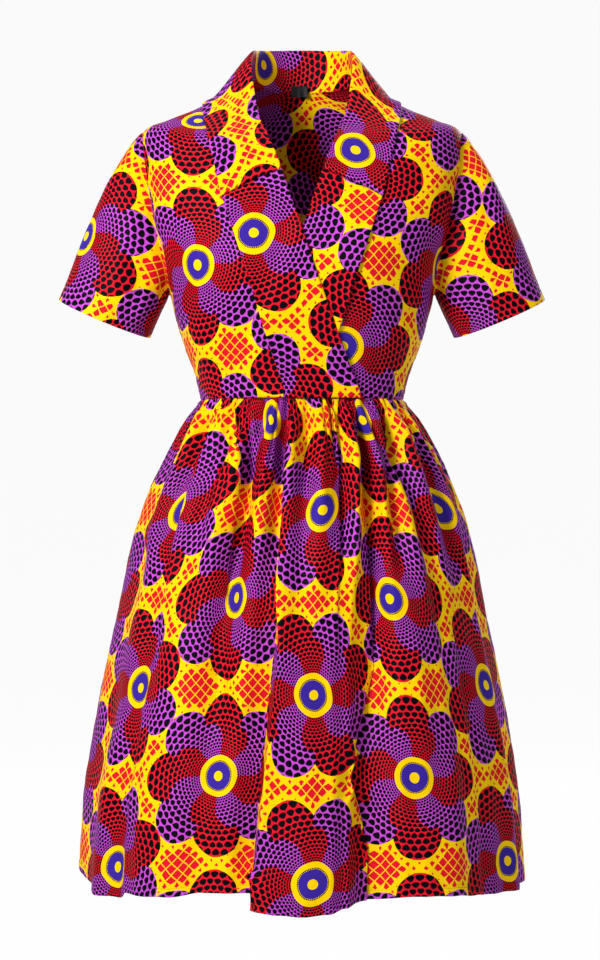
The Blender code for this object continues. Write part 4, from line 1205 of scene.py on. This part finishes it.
def collar_grid(front, sizes):
    """The points and flat places of the whole collar, from gorge to gorge."""
    stand = np.linspace(0.0, 1.0, STAND_COLUMNS + 1)[:-1]
    shares = crowded(*COLLAR_ROWS)
    half = collar_half(front, shares, stand, crowded(*FALL_COLUMNS))
    lapel, _ = lapel_grid(front, (), sizes, over=False)
    # The ends are drawn to the top edges of the lapels.
    top, below = lapel[-1], lapel[-4]
    target = top + unit(top - below) * 2 * SEAM_GAP
    spots = lengths(half[-1:], 1)[0]
    target_way = lengths(target[None], 1)[0]
    target_way *= spots[-1] / target_way[-1]
    target = np.stack([np.interp(spots, target_way, target[:, axis]) for axis in range(3)], -1)
    pull = smooth_step(shares, COLLAR_PULL_START, 1.0)[:, None, None]
    half = half + (target - half[-1])[None] * pull
    half[:-1, 1:] = kept_clear(half[:-1, 1:], form_tree(), COLLAR_CLEAR)
    whole = np.concatenate([mirrored(half[:0:-1]), half], 0)
    across, round_it = lengths(whole, 1), lengths(whole, 0)
    fall_share = smooth_step(np.arange(whole.shape[1]), *COLLAR_BILLOW_COLUMNS)[None]
    stand_way = round_it[:, STAND_COLUMNS : STAND_COLUMNS + 1]
    height = billow(stand_way + 0 * across, across, COLLAR_BILLOW) * fall_share
    height += free_edge(across[:, -1:] - across, COLLAR_RISE)
    height += puckers(round_it, across, COLLAR_PUCKER)
    height[[0, -1]] -= COLLAR_END_DROP
    whole = whole - grid_normals(whole) * height[..., None]
    roll_way = round_it[:, STAND_COLUMNS + 1 : STAND_COLUMNS + 2]
    way = roll_way - roll_way[len(whole) // 2]
    return whole, np.stack([way + 0 * across, -across], -1)


def cap_points(angle):
    """Points of the sleeve cap's seam: 0 is the shoulder tip, 180 degrees the armpit. With
    them come the seam allowance's fold and its edge under the bodice."""
    front = armhole(np.clip(1 - angle / math.pi, 0, 1), ARMHOLE_FRONT_DEG)
    back = armhole(np.clip(angle / math.pi - 1, 0, 1), ARMHOLE_BACK_DEG) * (-1, 1)
    places = np.where((angle <= math.pi)[:, None], front, back)
    turn, ring = places[:, 0], places[:, 1]
    normals = form_normals(turn, ring)
    points = form_points(turn, ring) + normals * SLEEVE_CLEAR + (SLEEVE_CLEAR, 0, 0)
    beyond = places + 0.03 * (places - ((0.0, (ARMPIT_RING + TIP_RING) / 2),))
    inward = unit(form_points(beyond[:, 0], beyond[:, 1]) - form_points(turn, ring))
    turned, tucked = (points - normals * drop for drop in ALLOWANCE_DROPS)
    return points, turned, tucked + inward * ALLOWANCE_WIDTH


def folded_hem(points, flat, normals, rows):
    """A grid with its last rows repeated behind it, as a hem folded to the inside."""
    end, outward = points[-1], normals[-1]
    down = unit(points[-1] - points[-2])
    curl = []
    for angle in np.radians((45, 90, 135)):
        inward = end - outward * HEM_RADIUS * (1 - math.cos(angle))
        curl.append(inward + down * HEM_RADIUS * math.sin(angle))
    inner = points[-rows:][::-1] - normals[-rows:][::-1] * 2 * HEM_RADIUS
    bend = [flat[-1] + (flat[-1] - flat[-2]) * step for step in (0.2, 0.4, 0.6)]
    inner_flat = flat[-1] * (1, 2) - flat[-rows:][::-1] * (0, 1)
    inner_flat[..., 0] = flat[-rows:][::-1][..., 0]
    points = np.concatenate([points, np.stack(curl), inner], 0)
    return points, np.concatenate([flat, np.stack(bend), inner_flat], 0)


def sleeve_grid(sizes, seed):
    """The wearer's left sleeve from the armhole to its hem: points, flat places, normals."""
    angle = np.linspace(0, 2 * math.pi, SLEEVE_COLUMNS, endpoint=False)
    axis = np.array((math.sin(SLEEVE_TILT), 0, -math.cos(SLEEVE_TILT)))
    wide = np.array((math.cos(SLEEVE_TILT), 0, math.sin(SLEEVE_TILT)))
    ahead = np.array((0, -1, 0))
    cosine, sine = np.cos(angle)[:, None], np.sin(angle)[:, None]
    top, turned, tucked = cap_points(angle)
    hem = SLEEVE_HEM_CENTRE + wide * SLEEVE_HEM_HALF_WIDTH * cosine
    hem = hem + ahead * SLEEVE_HEM_HALF_DEPTH * sine + axis * SLEEVE_FRONT_DROP * sine
    reach = np.linalg.norm(hem - top, axis=1, keepdims=True)
    lead = axis + np.array((SLEEVE_SWELL, 0, 0)) * np.cos(angle / 2)[:, None] ** 2
    lead = unit(lead + ahead * SLEEVE_SWELL * sine)
    hem_share = sizes.sleeve_hem / SLEEVE_LENGTH
    body = crowded(SLEEVE_ROWS, start=SEAM_CROWDING)[:-1] * (1 - hem_share)
    shares = np.concatenate([body, np.linspace(1 - hem_share, 1.0, SLEEVE_HEM_ROWS)])
    grid = np.stack([hermite(top, lead * reach, hem, axis * reach, s) for s in shares])
    normals = grid_normals(grid, closed=True)
    if np.sum(normals[len(grid) // 2, 0] * wide) < 0:
        normals = -normals
    down = lengths(grid, 0)
    around = np.where(angle > math.pi, angle - 2 * math.pi, angle) / (2 * math.pi) * SLEEVE_GIRTH
    around = around[None] + 0 * down
    height = crease_height(around, down, SLEEVE_CREASES)
    height += billow(around + seed, down + 3 * seed, SLEEVE_BILLOW)
    # The cap is eased in, so it puckers a little more than a plain seam.
    height += puckers(around, down, 1.6 * sizes.pucker)
    to_hem = down[-1:] - down
    height -= STITCH_DIP * np.exp(-(((to_hem - SLEEVE_STITCHED) / SLEEVE_DIP_WIDTH) ** 2))
    height += puckers(around, np.abs(to_hem - SLEEVE_STITCHED), 0.8 * sizes.pucker)
    at_cap = smooth_step(down, 0.0, CAP_FLAT)
    fade = smooth_step(to_hem, 0.0, HEM_FLAT) * at_cap
    height = height * (0.35 * at_cap + 0.65 * fade)
    grid = grid + normals * height[..., None]
    grid = np.concatenate([tucked[None], turned[None], grid])
    normals = np.concatenate([normals[:1], normals[:1], normals])
    flat_round = np.linspace(-0.5, 0.5, SLEEVE_COLUMNS + 1) * SLEEVE_GIRTH
    to_hem = np.roll(to_hem, SLEEVE_COLUMNS // 2, 1)
    to_hem = np.concatenate([*(to_hem[:1] + more for more in ALLOWANCE_FLAT), to_hem])
    flat_up = np.concatenate([to_hem, to_hem[:, :1]], 1)
    flat = np.stack([np.broadcast_to(flat_round, flat_up.shape), flat_up], -1)
    half_round = SLEEVE_COLUMNS // 2
    return np.roll(grid, half_round, 1), flat, np.roll(normals, half_round, 1)


def at_levels(drop, values):
    """Numbers given at hip, knee and hem level, read at each drop and softened there."""
    total = 0
    for shift in (-LEVEL_SOFTNESS, 0.0, LEVEL_SOFTNESS):
        total = total + np.stack([np.interp(drop + shift, FOLD_LEVELS, row) for row in values], 1)
    return total / 3


def front_folds(drop):
    """Turn and rise of each front fold at each drop, and its hem lift and lean."""
    turn = np.arccos(np.clip(at_levels(drop, FRONT_FOLDS[:, :3]), -1, 1))
    rise = at_levels(drop, FRONT_FOLDS[:, 3:6]) / 1000
    return turn, rise, FRONT_FOLDS[:, 6] / 1000, FRONT_FOLDS[:, 7]


def back_folds(drop):
    """Turn and rise of each back fold at each drop, and its hem lift and lean. Every second
    fold is a ridge, and slow waves along the count make each unlike its neighbours."""
    count = np.arange(BACK_FOLD_COUNT + 1)
    share = count / BACK_FOLD_COUNT
    sign = np.where(count % 2 == 0, 1, -1)
    inner = (count > 0) & (count < BACK_FOLD_COUNT)
    waves = [size * np.sin(pace * count + start) for size, pace, start in BACK_SHIFT_WAVES]
    shifts = np.stack(waves, 1)
    lobe = np.sin(1.15 * count + 0.5)
    hip = sign * (8 + 3 * np.sin(1.9 * count))
    rises = np.stack([hip, 4 * sign + 10 * lobe, 3 * sign + 14 * lobe], 1)
    rises = np.where(inner[:, None], rises, SIDE_FOLD_RISE) / 1000
    turn = math.pi * (1 + share) + at_levels(drop, shifts * inner[:, None])
    first, last = FRONT_FOLDS[-1, 6] / 1000, FRONT_FOLDS[0, 6] / 1000
    lift = first + (last - first) * share + 0.005 * np.sin(1.15 * count) * inner
    return turn, at_levels(drop, rises), lift, 0.25 * np.sin(2.1 * count) * inner


def skirt_drops(sizes):
    """The drops of the skirt's rows, closest under the waist seam and in the hem."""
    hem_start = SKIRT_LENGTH - sizes.skirt_hem
    ends = (*SKIRT_ROW_BANDS[:, 0], hem_start)
    rows = [
        np.linspace(start, end, int(count))[:-1]
        for start, end, count in zip(ends, ends[1:], SKIRT_ROW_BANDS[:, 1])
    ]
    return np.concatenate([*rows, np.linspace(hem_start, SKIRT_LENGTH, SKIRT_HEM_ROWS)])


def skirt_columns(turns, laps):
    """Where the skirt's columns stand, counted in folds, closest round the sharp folds."""
    count = turns.shape[1] - 1
    steps = np.linspace(0, 1, SKIRT_COLUMNS + 1)
    middle = turns[len(turns) // 2]
    spread = (middle - turns[0, 0]) / (turns[0, -1] - turns[0, 0])
    place = 0.5 * np.interp(steps, spread, np.arange(count + 1)) + 0.5 * steps * count
    crowding = 1 + sum(
        LAP_CROWDING * np.exp(-(((place - lap.fold) / LAP_CROWD_REACH) ** 2)) for lap in laps
    )
    crowding = np.cumsum(crowding)
    return np.interp(np.linspace(crowding[0], crowding[-1], SKIRT_COLUMNS + 1), crowding, place)


def skirt_form(drop, folds, laps):
    """The skirt's points with its folds, and their outward directions."""
    turns, rises, lifts, leans = folds(drop)
    place = skirt_columns(turns, laps)
    first = np.minimum(place.astype(int), turns.shape[1] - 2)
    part = place - first
    # A fold that leans has a long slope on one side and a steep one on the other.
    lean = leans[first] * np.sin(math.pi * part)
    weight = (1 - np.cos(math.pi * np.clip(part + LEAN_SHARE * lean, 0.0, 1.0))) / 2
    turn = turns[:, first] + (turns[:, first + 1] - turns[:, first]) * part
    rise = rises[:, first] + (rises[:, first + 1] - rises[:, first]) * weight
    lift = lifts[first] + (lifts[first + 1] - lifts[first]) * weight
    size = SEAM_FOLD_SHARE + (1 - SEAM_FOLD_SHARE) * smooth_step(drop, FOLD_START, FULL_FOLD_DROP)
    half_width, front_depth, back_depth = np.moveaxis(read_curve(drop, SKIRT_RINGS), -1, 0)[..., None]
    across, ahead = np.cos(turn), np.sin(turn)
    depth = np.where(ahead > 0, front_depth, back_depth)
    change = smooth_step(drop, 0.0, FULL_SHAPE_DROP)[:, None]
    square = WAIST_SQUARENESS + (SKIRT_SQUARENESS - WAIST_SQUARENESS) * change
    x = half_width * across * (1 + square * ahead**2)
    y = -depth * ahead * (1 + square * across**2)
    z = WAIST_Z - WAIST_GAP - drop[:, None] + lift * (drop[:, None] / SKIRT_LENGTH) ** 2
    outward = unit(np.stack([across * depth, -ahead * half_width, 0 * x], -1))
    return np.stack([x, y, z], -1) + outward * (rise * size[:, None])[..., None], outward


def skirt_grid(folds, creases, laps, sizes, wave_shift):
    """The points, flat places and outward directions of half of the skirt."""
    rows = skirt_drops(sizes)
    points, outward = skirt_form(rows, folds, laps)
    drop = rows[:, None]
    height = SKIRT_CREASE_SHARE * crease_height(points[..., 0], points[..., 2], creases)
    height *= smooth_step(drop, 0.003, 0.03)
    way = lengths(points[:1], 1)
    height += small_gathers(way / way[:, -1:] + wave_shift, drop, sizes.gather)
    billowing = billow(points[..., 0] + wave_shift, points[..., 2], SKIRT_BILLOW)
    height += billowing * smooth_step(drop, 0.0, FULL_SHAPE_DROP)
    to_seam = lengths(points, 1)
    for away in (to_seam, to_seam[:, -1:] - to_seam):
        height += sewn_edge(drop + 0 * away, away, sizes)
    to_hem = SKIRT_LENGTH - drop
    height -= STITCH_DIP * np.exp(-(((to_hem - SKIRT_STITCHED) / SKIRT_DIP_WIDTH) ** 2))
    hem_way = lengths(points[-1:], 1) + 0 * to_hem
    height += puckers(hem_way, np.abs(to_hem - SKIRT_STITCHED), 0.9 * sizes.pucker)
    points = lapped(points + outward * height[..., None], outward, laps)
    # The print spreads evenly along each row, and eases from one row to the next.
    near = np.exp(-(((drop - rows) / PRINT_EASE) ** 2)) * np.gradient(rows)
    way = lengths(points, 1)
    share = near / near.sum(1, keepdims=True) @ (way / way[:, -1:])
    return points, np.stack([share * way[-1, -1], to_hem + 0 * share], -1), outward


def lapped(points, outward, laps):
    """The skirt's points with its sharp folds: each is an S, over, back under and on."""
    tangent = unit(np.gradient(points, axis=1) * (1, 1, 0))
    way = lengths(points, 1)
    along_x = np.sign(points[0, -1, 0] - points[0, 0, 0])
    moved = points.copy()
    for lap in laps:
        x, z, strength = (np.array(column)[::-1] for column in zip(*lap.edge))
        for row, level in enumerate(points[:, 0, 2]):
            size = np.interp(level, z / 1000, strength) * lap.half_width
            if size == 0:
                continue
            edge = along_x * np.interp(level, z / 1000, x / 1000)
            centre = np.interp(edge, along_x * points[row, :, 0], way[row])
            u = (way[row] - centre) / lap.half_width
            near = np.clip(1 - u**2, 0.0, 1.0) ** 2
            back = -LAP_REACH * size * np.sin(math.pi * u) * near
            rise = -LAP_RISE * size * lap.side * u * np.exp(-((u / LAP_RISE_REACH) ** 2))
            moved[row] += tangent[row] * back[:, None] + outward[row] * rise[:, None]
    return moved


def small_gathers(way, drop, size):
    """Small gathers under the waist seam. The way goes from 0 to 1 across half of the skirt,
    and waves of 5, 11, 7 and 9 to it make their widths, heights and lengths uneven."""
    phase = GATHER_COUNT * way + 0.55 * np.sin(2 * math.pi * 5 * way + 0.7)
    phase += 0.30 * np.sin(2 * math.pi * 11 * way + 2.0)
    ridge = np.abs(np.cos(math.pi * phase)) ** 0.8 - 0.55
    tall = 0.70 + 0.30 * np.sin(2 * math.pi * 7 * way + 1.1)
    long = 0.055 + 0.060 * (0.5 + 0.5 * np.sin(2 * math.pi * 9 * way + 0.4))
    near = smooth_step(drop, 0.0, 0.004) * (1 - smooth_step(drop, 0.35 * long, 1.7 * long))
    puff = smooth_step(drop, 0.0, 0.004) * (1 - smooth_step(drop, 0.006, 0.030))
    return size * ridge * tall * near + GATHER_PUFF * puff


def stitch_rings(points, normals, spacing):
    """The corners of each stitch along a line on the cloth, ring by ring. A stitch is a short
    thread with both ends in the cloth."""
    way = lengths(points[None], 1)[0]
    count = int(way[-1] / spacing)
    middle = (np.arange(count) + 0.5) * way[-1] / count
    half = STITCH_SHARE / 2 * way[-1] / count

    def read(table, spot):
        return np.stack([np.interp(spot, way, column) for column in table.T], -1)

    start, end, centre = (read(points, middle + shift) for shift in (-half, half, 0.0))
    out = unit(read(normals, middle))
    run = unit(end - start)
    beside = np.cross(out, run)
    corners = []
    for place, size, lift in STITCH_RINGS:
        for turn in np.arange(STITCH_SIDES) * 2 * math.pi / STITCH_SIDES:
            spot = centre + run * half * place + out * STITCH_RADIUS * lift
            spot = spot + beside * STITCH_RADIUS * 1.2 * size * math.cos(turn)
            corners.append(spot + out * STITCH_RADIUS * size * math.sin(turn))
    return np.stack(corners, 1)


def stitched_line(name, points, normals, sizes, closed=False):
    """A row of short stitches along a line on the cloth, as one mesh."""
    if closed:
        points = np.concatenate([points, points[:1]])
        normals = np.concatenate([normals, normals[:1]])
    corners = stitch_rings(points, normals, sizes.stitch)
    count, total = corners.shape[:2]
    faces = []
    for low in range(0, total - STITCH_SIDES, STITCH_SIDES):
        high = low + STITCH_SIDES
        for corner in range(STITCH_SIDES):
            beside = (corner + 1) % STITCH_SIDES
            faces.append((low + corner, low + beside, high + beside, high + corner))
    faces += [tuple(range(STITCH_SIDES))[::-1], tuple(range(total - STITCH_SIDES, total))]
    every = [tuple(v + total * index for v in face) for index in range(count) for face in faces]
    mesh = bpy.data.meshes.new(name)
    mesh.from_pydata(corners.reshape(-1, 3).tolist(), [], every)
    mesh.shade_smooth()
    shade = tuple(bpy.context.scene.dress_colours.thread)
    mesh.materials.append(woven_thread("polyester_thread", shade, 0.55, 0.0005))
    line = placed(name, mesh)
    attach(line, "root")


def label_grid():
    """The points and flat places of the label: down its face, round its fold and up again."""
    width, tall = LABEL_SIZE
    half_width, depth = FORM_RINGS[-1, 0], FORM_RINGS[-1, 4]
    x = LABEL_CENTRE[0] + width * np.linspace(-0.5, 0.5, 25)[None]
    down = np.linspace(0.0, 1.0, 15)
    angle = np.radians(np.linspace(20, 160, 8))
    z = LABEL_CENTRE[1] + tall / 2 - tall * down
    rows = np.concatenate([z, z[-1] - LABEL_FOLD * np.sin(angle), z[::-1]])[:, None]
    steps = [0 * z - LABEL_FOLD, -LABEL_FOLD * np.cos(angle), 0 * z + LABEL_FOLD]
    sag = np.concatenate([down, 0 * angle + 1, down[::-1]])[:, None]
    y = depth * np.cos(np.arcsin(x / half_width)) - LABEL_SET_IN + np.concatenate(steps)[:, None]
    y = y - LABEL_SAG * sag**2 + LABEL_WAVE * np.sin(700 * x) * sag
    points = np.stack([x + 0 * y, y, rows + 0 * y], -1)
    return points, points[..., (0, 2)]


class DRESS_OT_fronts(bpy.types.Operator):
    """Make both fronts, the wearer's right one over the left one"""

    bl_idname = "dress.fronts"
    bl_label = "Fronts"

    def execute(self, context):
        sizes, places = context.scene.dress_sizes, FrontPlaces().whole()
        points, flat = front_grid(places, FRONT_CREASES, sizes, over=False)
        cloth_piece("front_left", points, flat, sizes.shell, flipped=True)
        points, flat = front_grid(places, OVER_CREASES, sizes, over=True)
        cloth_piece("front_right", mirrored(points), flat * (-1, 1), sizes.shell)
        return {"FINISHED"}


class DRESS_OT_back(bpy.types.Operator):
    """Make the back, cut in one piece"""

    bl_idname = "dress.back"
    bl_label = "Back"

    def execute(self, context):
        sizes, half = context.scene.dress_sizes, back_places()
        turn, ring = half[..., 0], half[..., 1]
        points, normals = form_points(turn, ring), form_normals(turn, ring)
        flat = flat_places(turn, ring)
        flat[..., 0] -= flat[:, -1:, 0]
        points = np.concatenate([points, mirrored(points[:, -2::-1])], 1)
        normals = np.concatenate([normals, mirrored(normals[:, -2::-1])], 1)
        flat = np.concatenate([flat, flat[:, -2::-1] * (-1, 1)], 1)
        height = CLOTH_LIFT + seam_relief(points, sizes, (1, 1, 1, 1))
        height += crease_height(points[..., 0], points[..., 2], BACK_CREASES)
        height += billow(points[..., 0] + 0.3, points[..., 2], BACK_BILLOW)
        cloth_piece("back", points + normals * height[..., None], flat, sizes.shell)
        return {"FINISHED"}


class DRESS_OT_lapels(bpy.types.Operator):
    """Make both lapels, folded back over the wrap edges"""

    bl_idname = "dress.lapels"
    bl_label = "Lapels"

    def execute(self, context):
        sizes, front = context.scene.dress_sizes, FrontPlaces()
        points, flat = lapel_grid(front, LAPEL_CREASES, sizes, over=False)
        cloth_piece("lapel_left", points, flat, sizes.facing)
        points, flat = lapel_grid(front, LAPEL_CREASES, sizes, over=True)
        cloth_piece("lapel_right", mirrored(points), flat * (-1, 1), sizes.facing, flipped=True)
        return {"FINISHED"}


class DRESS_OT_collar(bpy.types.Operator):
    """Make the turned down collar with its stand"""

    bl_idname = "dress.collar"
    bl_label = "Collar"

    def execute(self, context):
        sizes = context.scene.dress_sizes
        cloth_piece("collar", *collar_grid(FrontPlaces(), sizes), sizes.facing, flipped=True)
        return {"FINISHED"}


class DRESS_OT_sleeves(bpy.types.Operator):
    """Make both set-in sleeves, with folded and stitched hems"""

    bl_idname = "dress.sleeves"
    bl_label = "Sleeves"

    def execute(self, context):
        sizes = context.scene.dress_sizes
        for name, seed in (("sleeve_left", 0.0), ("sleeve_right", 0.7)):
            points, flat, normals = sleeve_grid(sizes, seed)
            to_hem = lengths(points, 0)
            to_hem = (to_hem[-1:] - to_hem).mean(1)
            row = int(np.argmin(np.abs(to_hem - SLEEVE_STITCHED)))
            line, line_normals = points[row], normals[row]
            points, flat = folded_hem(points, flat, normals, SLEEVE_HEM_ROWS)
            right = name == "sleeve_right"
            if right:
                points, line, line_normals = (mirrored(a) for a in (points, line, line_normals))
            cloth_piece(name, points, flat, sizes.shell, closed=True, flipped=right, side=-1.0)
            stitched_line(name + "_stitches", line, line_normals, sizes, closed=True)
        return {"FINISHED"}


class DRESS_OT_skirt(bpy.types.Operator):
    """Make the gathered skirt's front and back, with folded and stitched hems"""

    bl_idname = "dress.skirt"
    bl_label = "Skirt"

    def execute(self, context):
        sizes = context.scene.dress_sizes
        parts = (
            ("skirt_front", front_folds, SKIRT_FRONT_CREASES, FRONT_LAPS, 0.0),
            ("skirt_back", back_folds, SKIRT_BACK_CREASES, BACK_LAPS, 0.37),
        )
        for name, folds, creases, laps, wave_shift in parts:
            points, flat, outward = skirt_grid(folds, creases, laps, sizes, wave_shift)
            row = len(points) - SKIRT_HEM_ROWS + 1
            line, line_normals = points[row] + outward[row] * sizes.shell, outward[row]
            points, flat = folded_hem(points, flat, outward, SKIRT_HEM_ROWS)
            cloth_piece(name, points, flat, sizes.shell)
            stitched_line(name + "_stitches", line, line_normals, sizes)
        return {"FINISHED"}


class DRESS_OT_label(bpy.types.Operator):
    """Make the bare woven label at the back of the neck"""

    bl_idname = "dress.label"
    bl_label = "Label"

    def execute(self, context):
        sizes, shade = context.scene.dress_sizes, tuple(context.scene.dress_colours.label)
        satin = woven_thread("polyester_satin_woven", shade, 0.38, 0.0004)
        points, flat = label_grid()
        cloth_piece("label", points, flat, LABEL_PLY, flipped=True, side=0.0, satin=satin)
        normals = np.tile((0.0, -1.0, 0.0), (points.shape[1], 1))
        stitched_line("label_stitches", points[1], normals, sizes)
        return {"FINISHED"}


class DRESS_OT_stage(bpy.types.Operator):
    """Make the pale floor and backdrop, the soft lights and the camera"""

    bl_idname = "dress.stage"
    bl_label = "Stage"

    def execute(self, context):
        backdrop(tuple(context.scene.dress_colours.stage))
        lights(context.scene)
        camera(context.scene)
        # The print's inks are as strong as paint on a screen, so they are shown as they are.
        context.scene.view_settings.view_transform = "Standard"
        return {"FINISHED"}


def backdrop(shade):
    """A pale floor, whose far part glows and sweeps up into a wall."""
    path = [(FLOOR_FRONT, FLOOR_Z), (GLOW_START, FLOOR_Z)]
    for angle in np.radians(np.linspace(0, 90, 25)):
        y = WALL_Y - SWEEP_RADIUS * (1 - math.sin(angle))
        path.append((y, FLOOR_Z + SWEEP_RADIUS * (1 - math.cos(angle))))
    path.append((WALL_Y, WALL_TOP))
    points = np.array([[(x, y, z) for x in (-STAGE_HALF_WIDTH, STAGE_HALF_WIDTH)] for y, z in path])
    mesh = mesh_from_grid("stage_sweep", points, points[..., :2])
    mesh.materials.append(matt_paint("matt_white_paint", shade, FLOOR_SHADE, 0.0))
    mesh.materials.append(matt_paint("lit_white_paint", shade, GLOW_SHADE, STAGE_GLOW))
    for face in mesh.polygons[1:]:
        face.material_index = 1
    placed("stage_sweep", mesh)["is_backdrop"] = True


def lights(scene):
    """Large soft lamps and an even surround."""
    for lamp in LAMPS:
        data = bpy.data.lights.new("lamp_" + lamp.name, "AREA")
        data.size, data.energy = lamp.size, lamp.watts
        made = placed("lamp_" + lamp.name, data)
        made.location = lamp.place
        aim = Vector(lamp.aim) - Vector(lamp.place)
        made.rotation_euler = aim.to_track_quat("-Z", "Y").to_euler()
    world = bpy.data.worlds.new("soft_room")
    world.use_nodes = True
    surround = world.node_tree.nodes["Background"]
    set_inputs(world.node_tree, surround, {0: (1.0, 1.0, 1.0, 1.0), 1: WORLD_LIGHT})
    scene.world = world


def camera(scene):
    """The camera of the main picture: level, straight in front."""
    data = bpy.data.cameras.new("camera")
    data.lens = CAMERA_LENS
    made = placed("camera", data)
    made.location = CAMERA_PLACE
    made.rotation_euler = (math.pi / 2, 0.0, 0.0)
    scene.camera = made


class DRESS_PT_panel(bpy.types.Panel):
    """Lists the dress's pieces and values in the sidebar"""

    bl_idname = "DRESS_PT_panel"
    bl_label = "Wrap dress"
    bl_space_type = "VIEW_3D"
    bl_region_type = "UI"
    bl_category = "Dress"

    def draw(self, context):
        for operator in OPERATORS:
            self.layout.operator(operator.bl_idname)
        for group in (context.scene.dress_sizes, context.scene.dress_colours):
            for name in group.__annotations__:
                self.layout.prop(group, name)


OPERATORS = (
    DRESS_OT_fronts,
    DRESS_OT_back,
    DRESS_OT_lapels,
    DRESS_OT_collar,
    DRESS_OT_sleeves,
    DRESS_OT_skirt,
    DRESS_OT_label,
    DRESS_OT_stage,
)
CLASSES = (DressColours, DressSizes, *OPERATORS, DRESS_PT_panel)


def register():
    for kind in CLASSES:
        bpy.utils.register_class(kind)
    bpy.types.Scene.dress_colours = PointerProperty(type=DressColours)
    bpy.types.Scene.dress_sizes = PointerProperty(type=DressSizes)


def unregister():
    del bpy.types.Scene.dress_colours
    del bpy.types.Scene.dress_sizes
    for kind in reversed(CLASSES):
        bpy.utils.unregister_class(kind)


def main():
    register()
    for operator in OPERATORS:
        group, name = operator.bl_idname.split(".")
        getattr(getattr(bpy.ops, group), name)()
    boxes = {"cad": CAD_BOX, "visual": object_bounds()}
    boxes = {name: [list(corner) for corner in box] for name, box in boxes.items()}


if __name__ == "__main__":
    main()
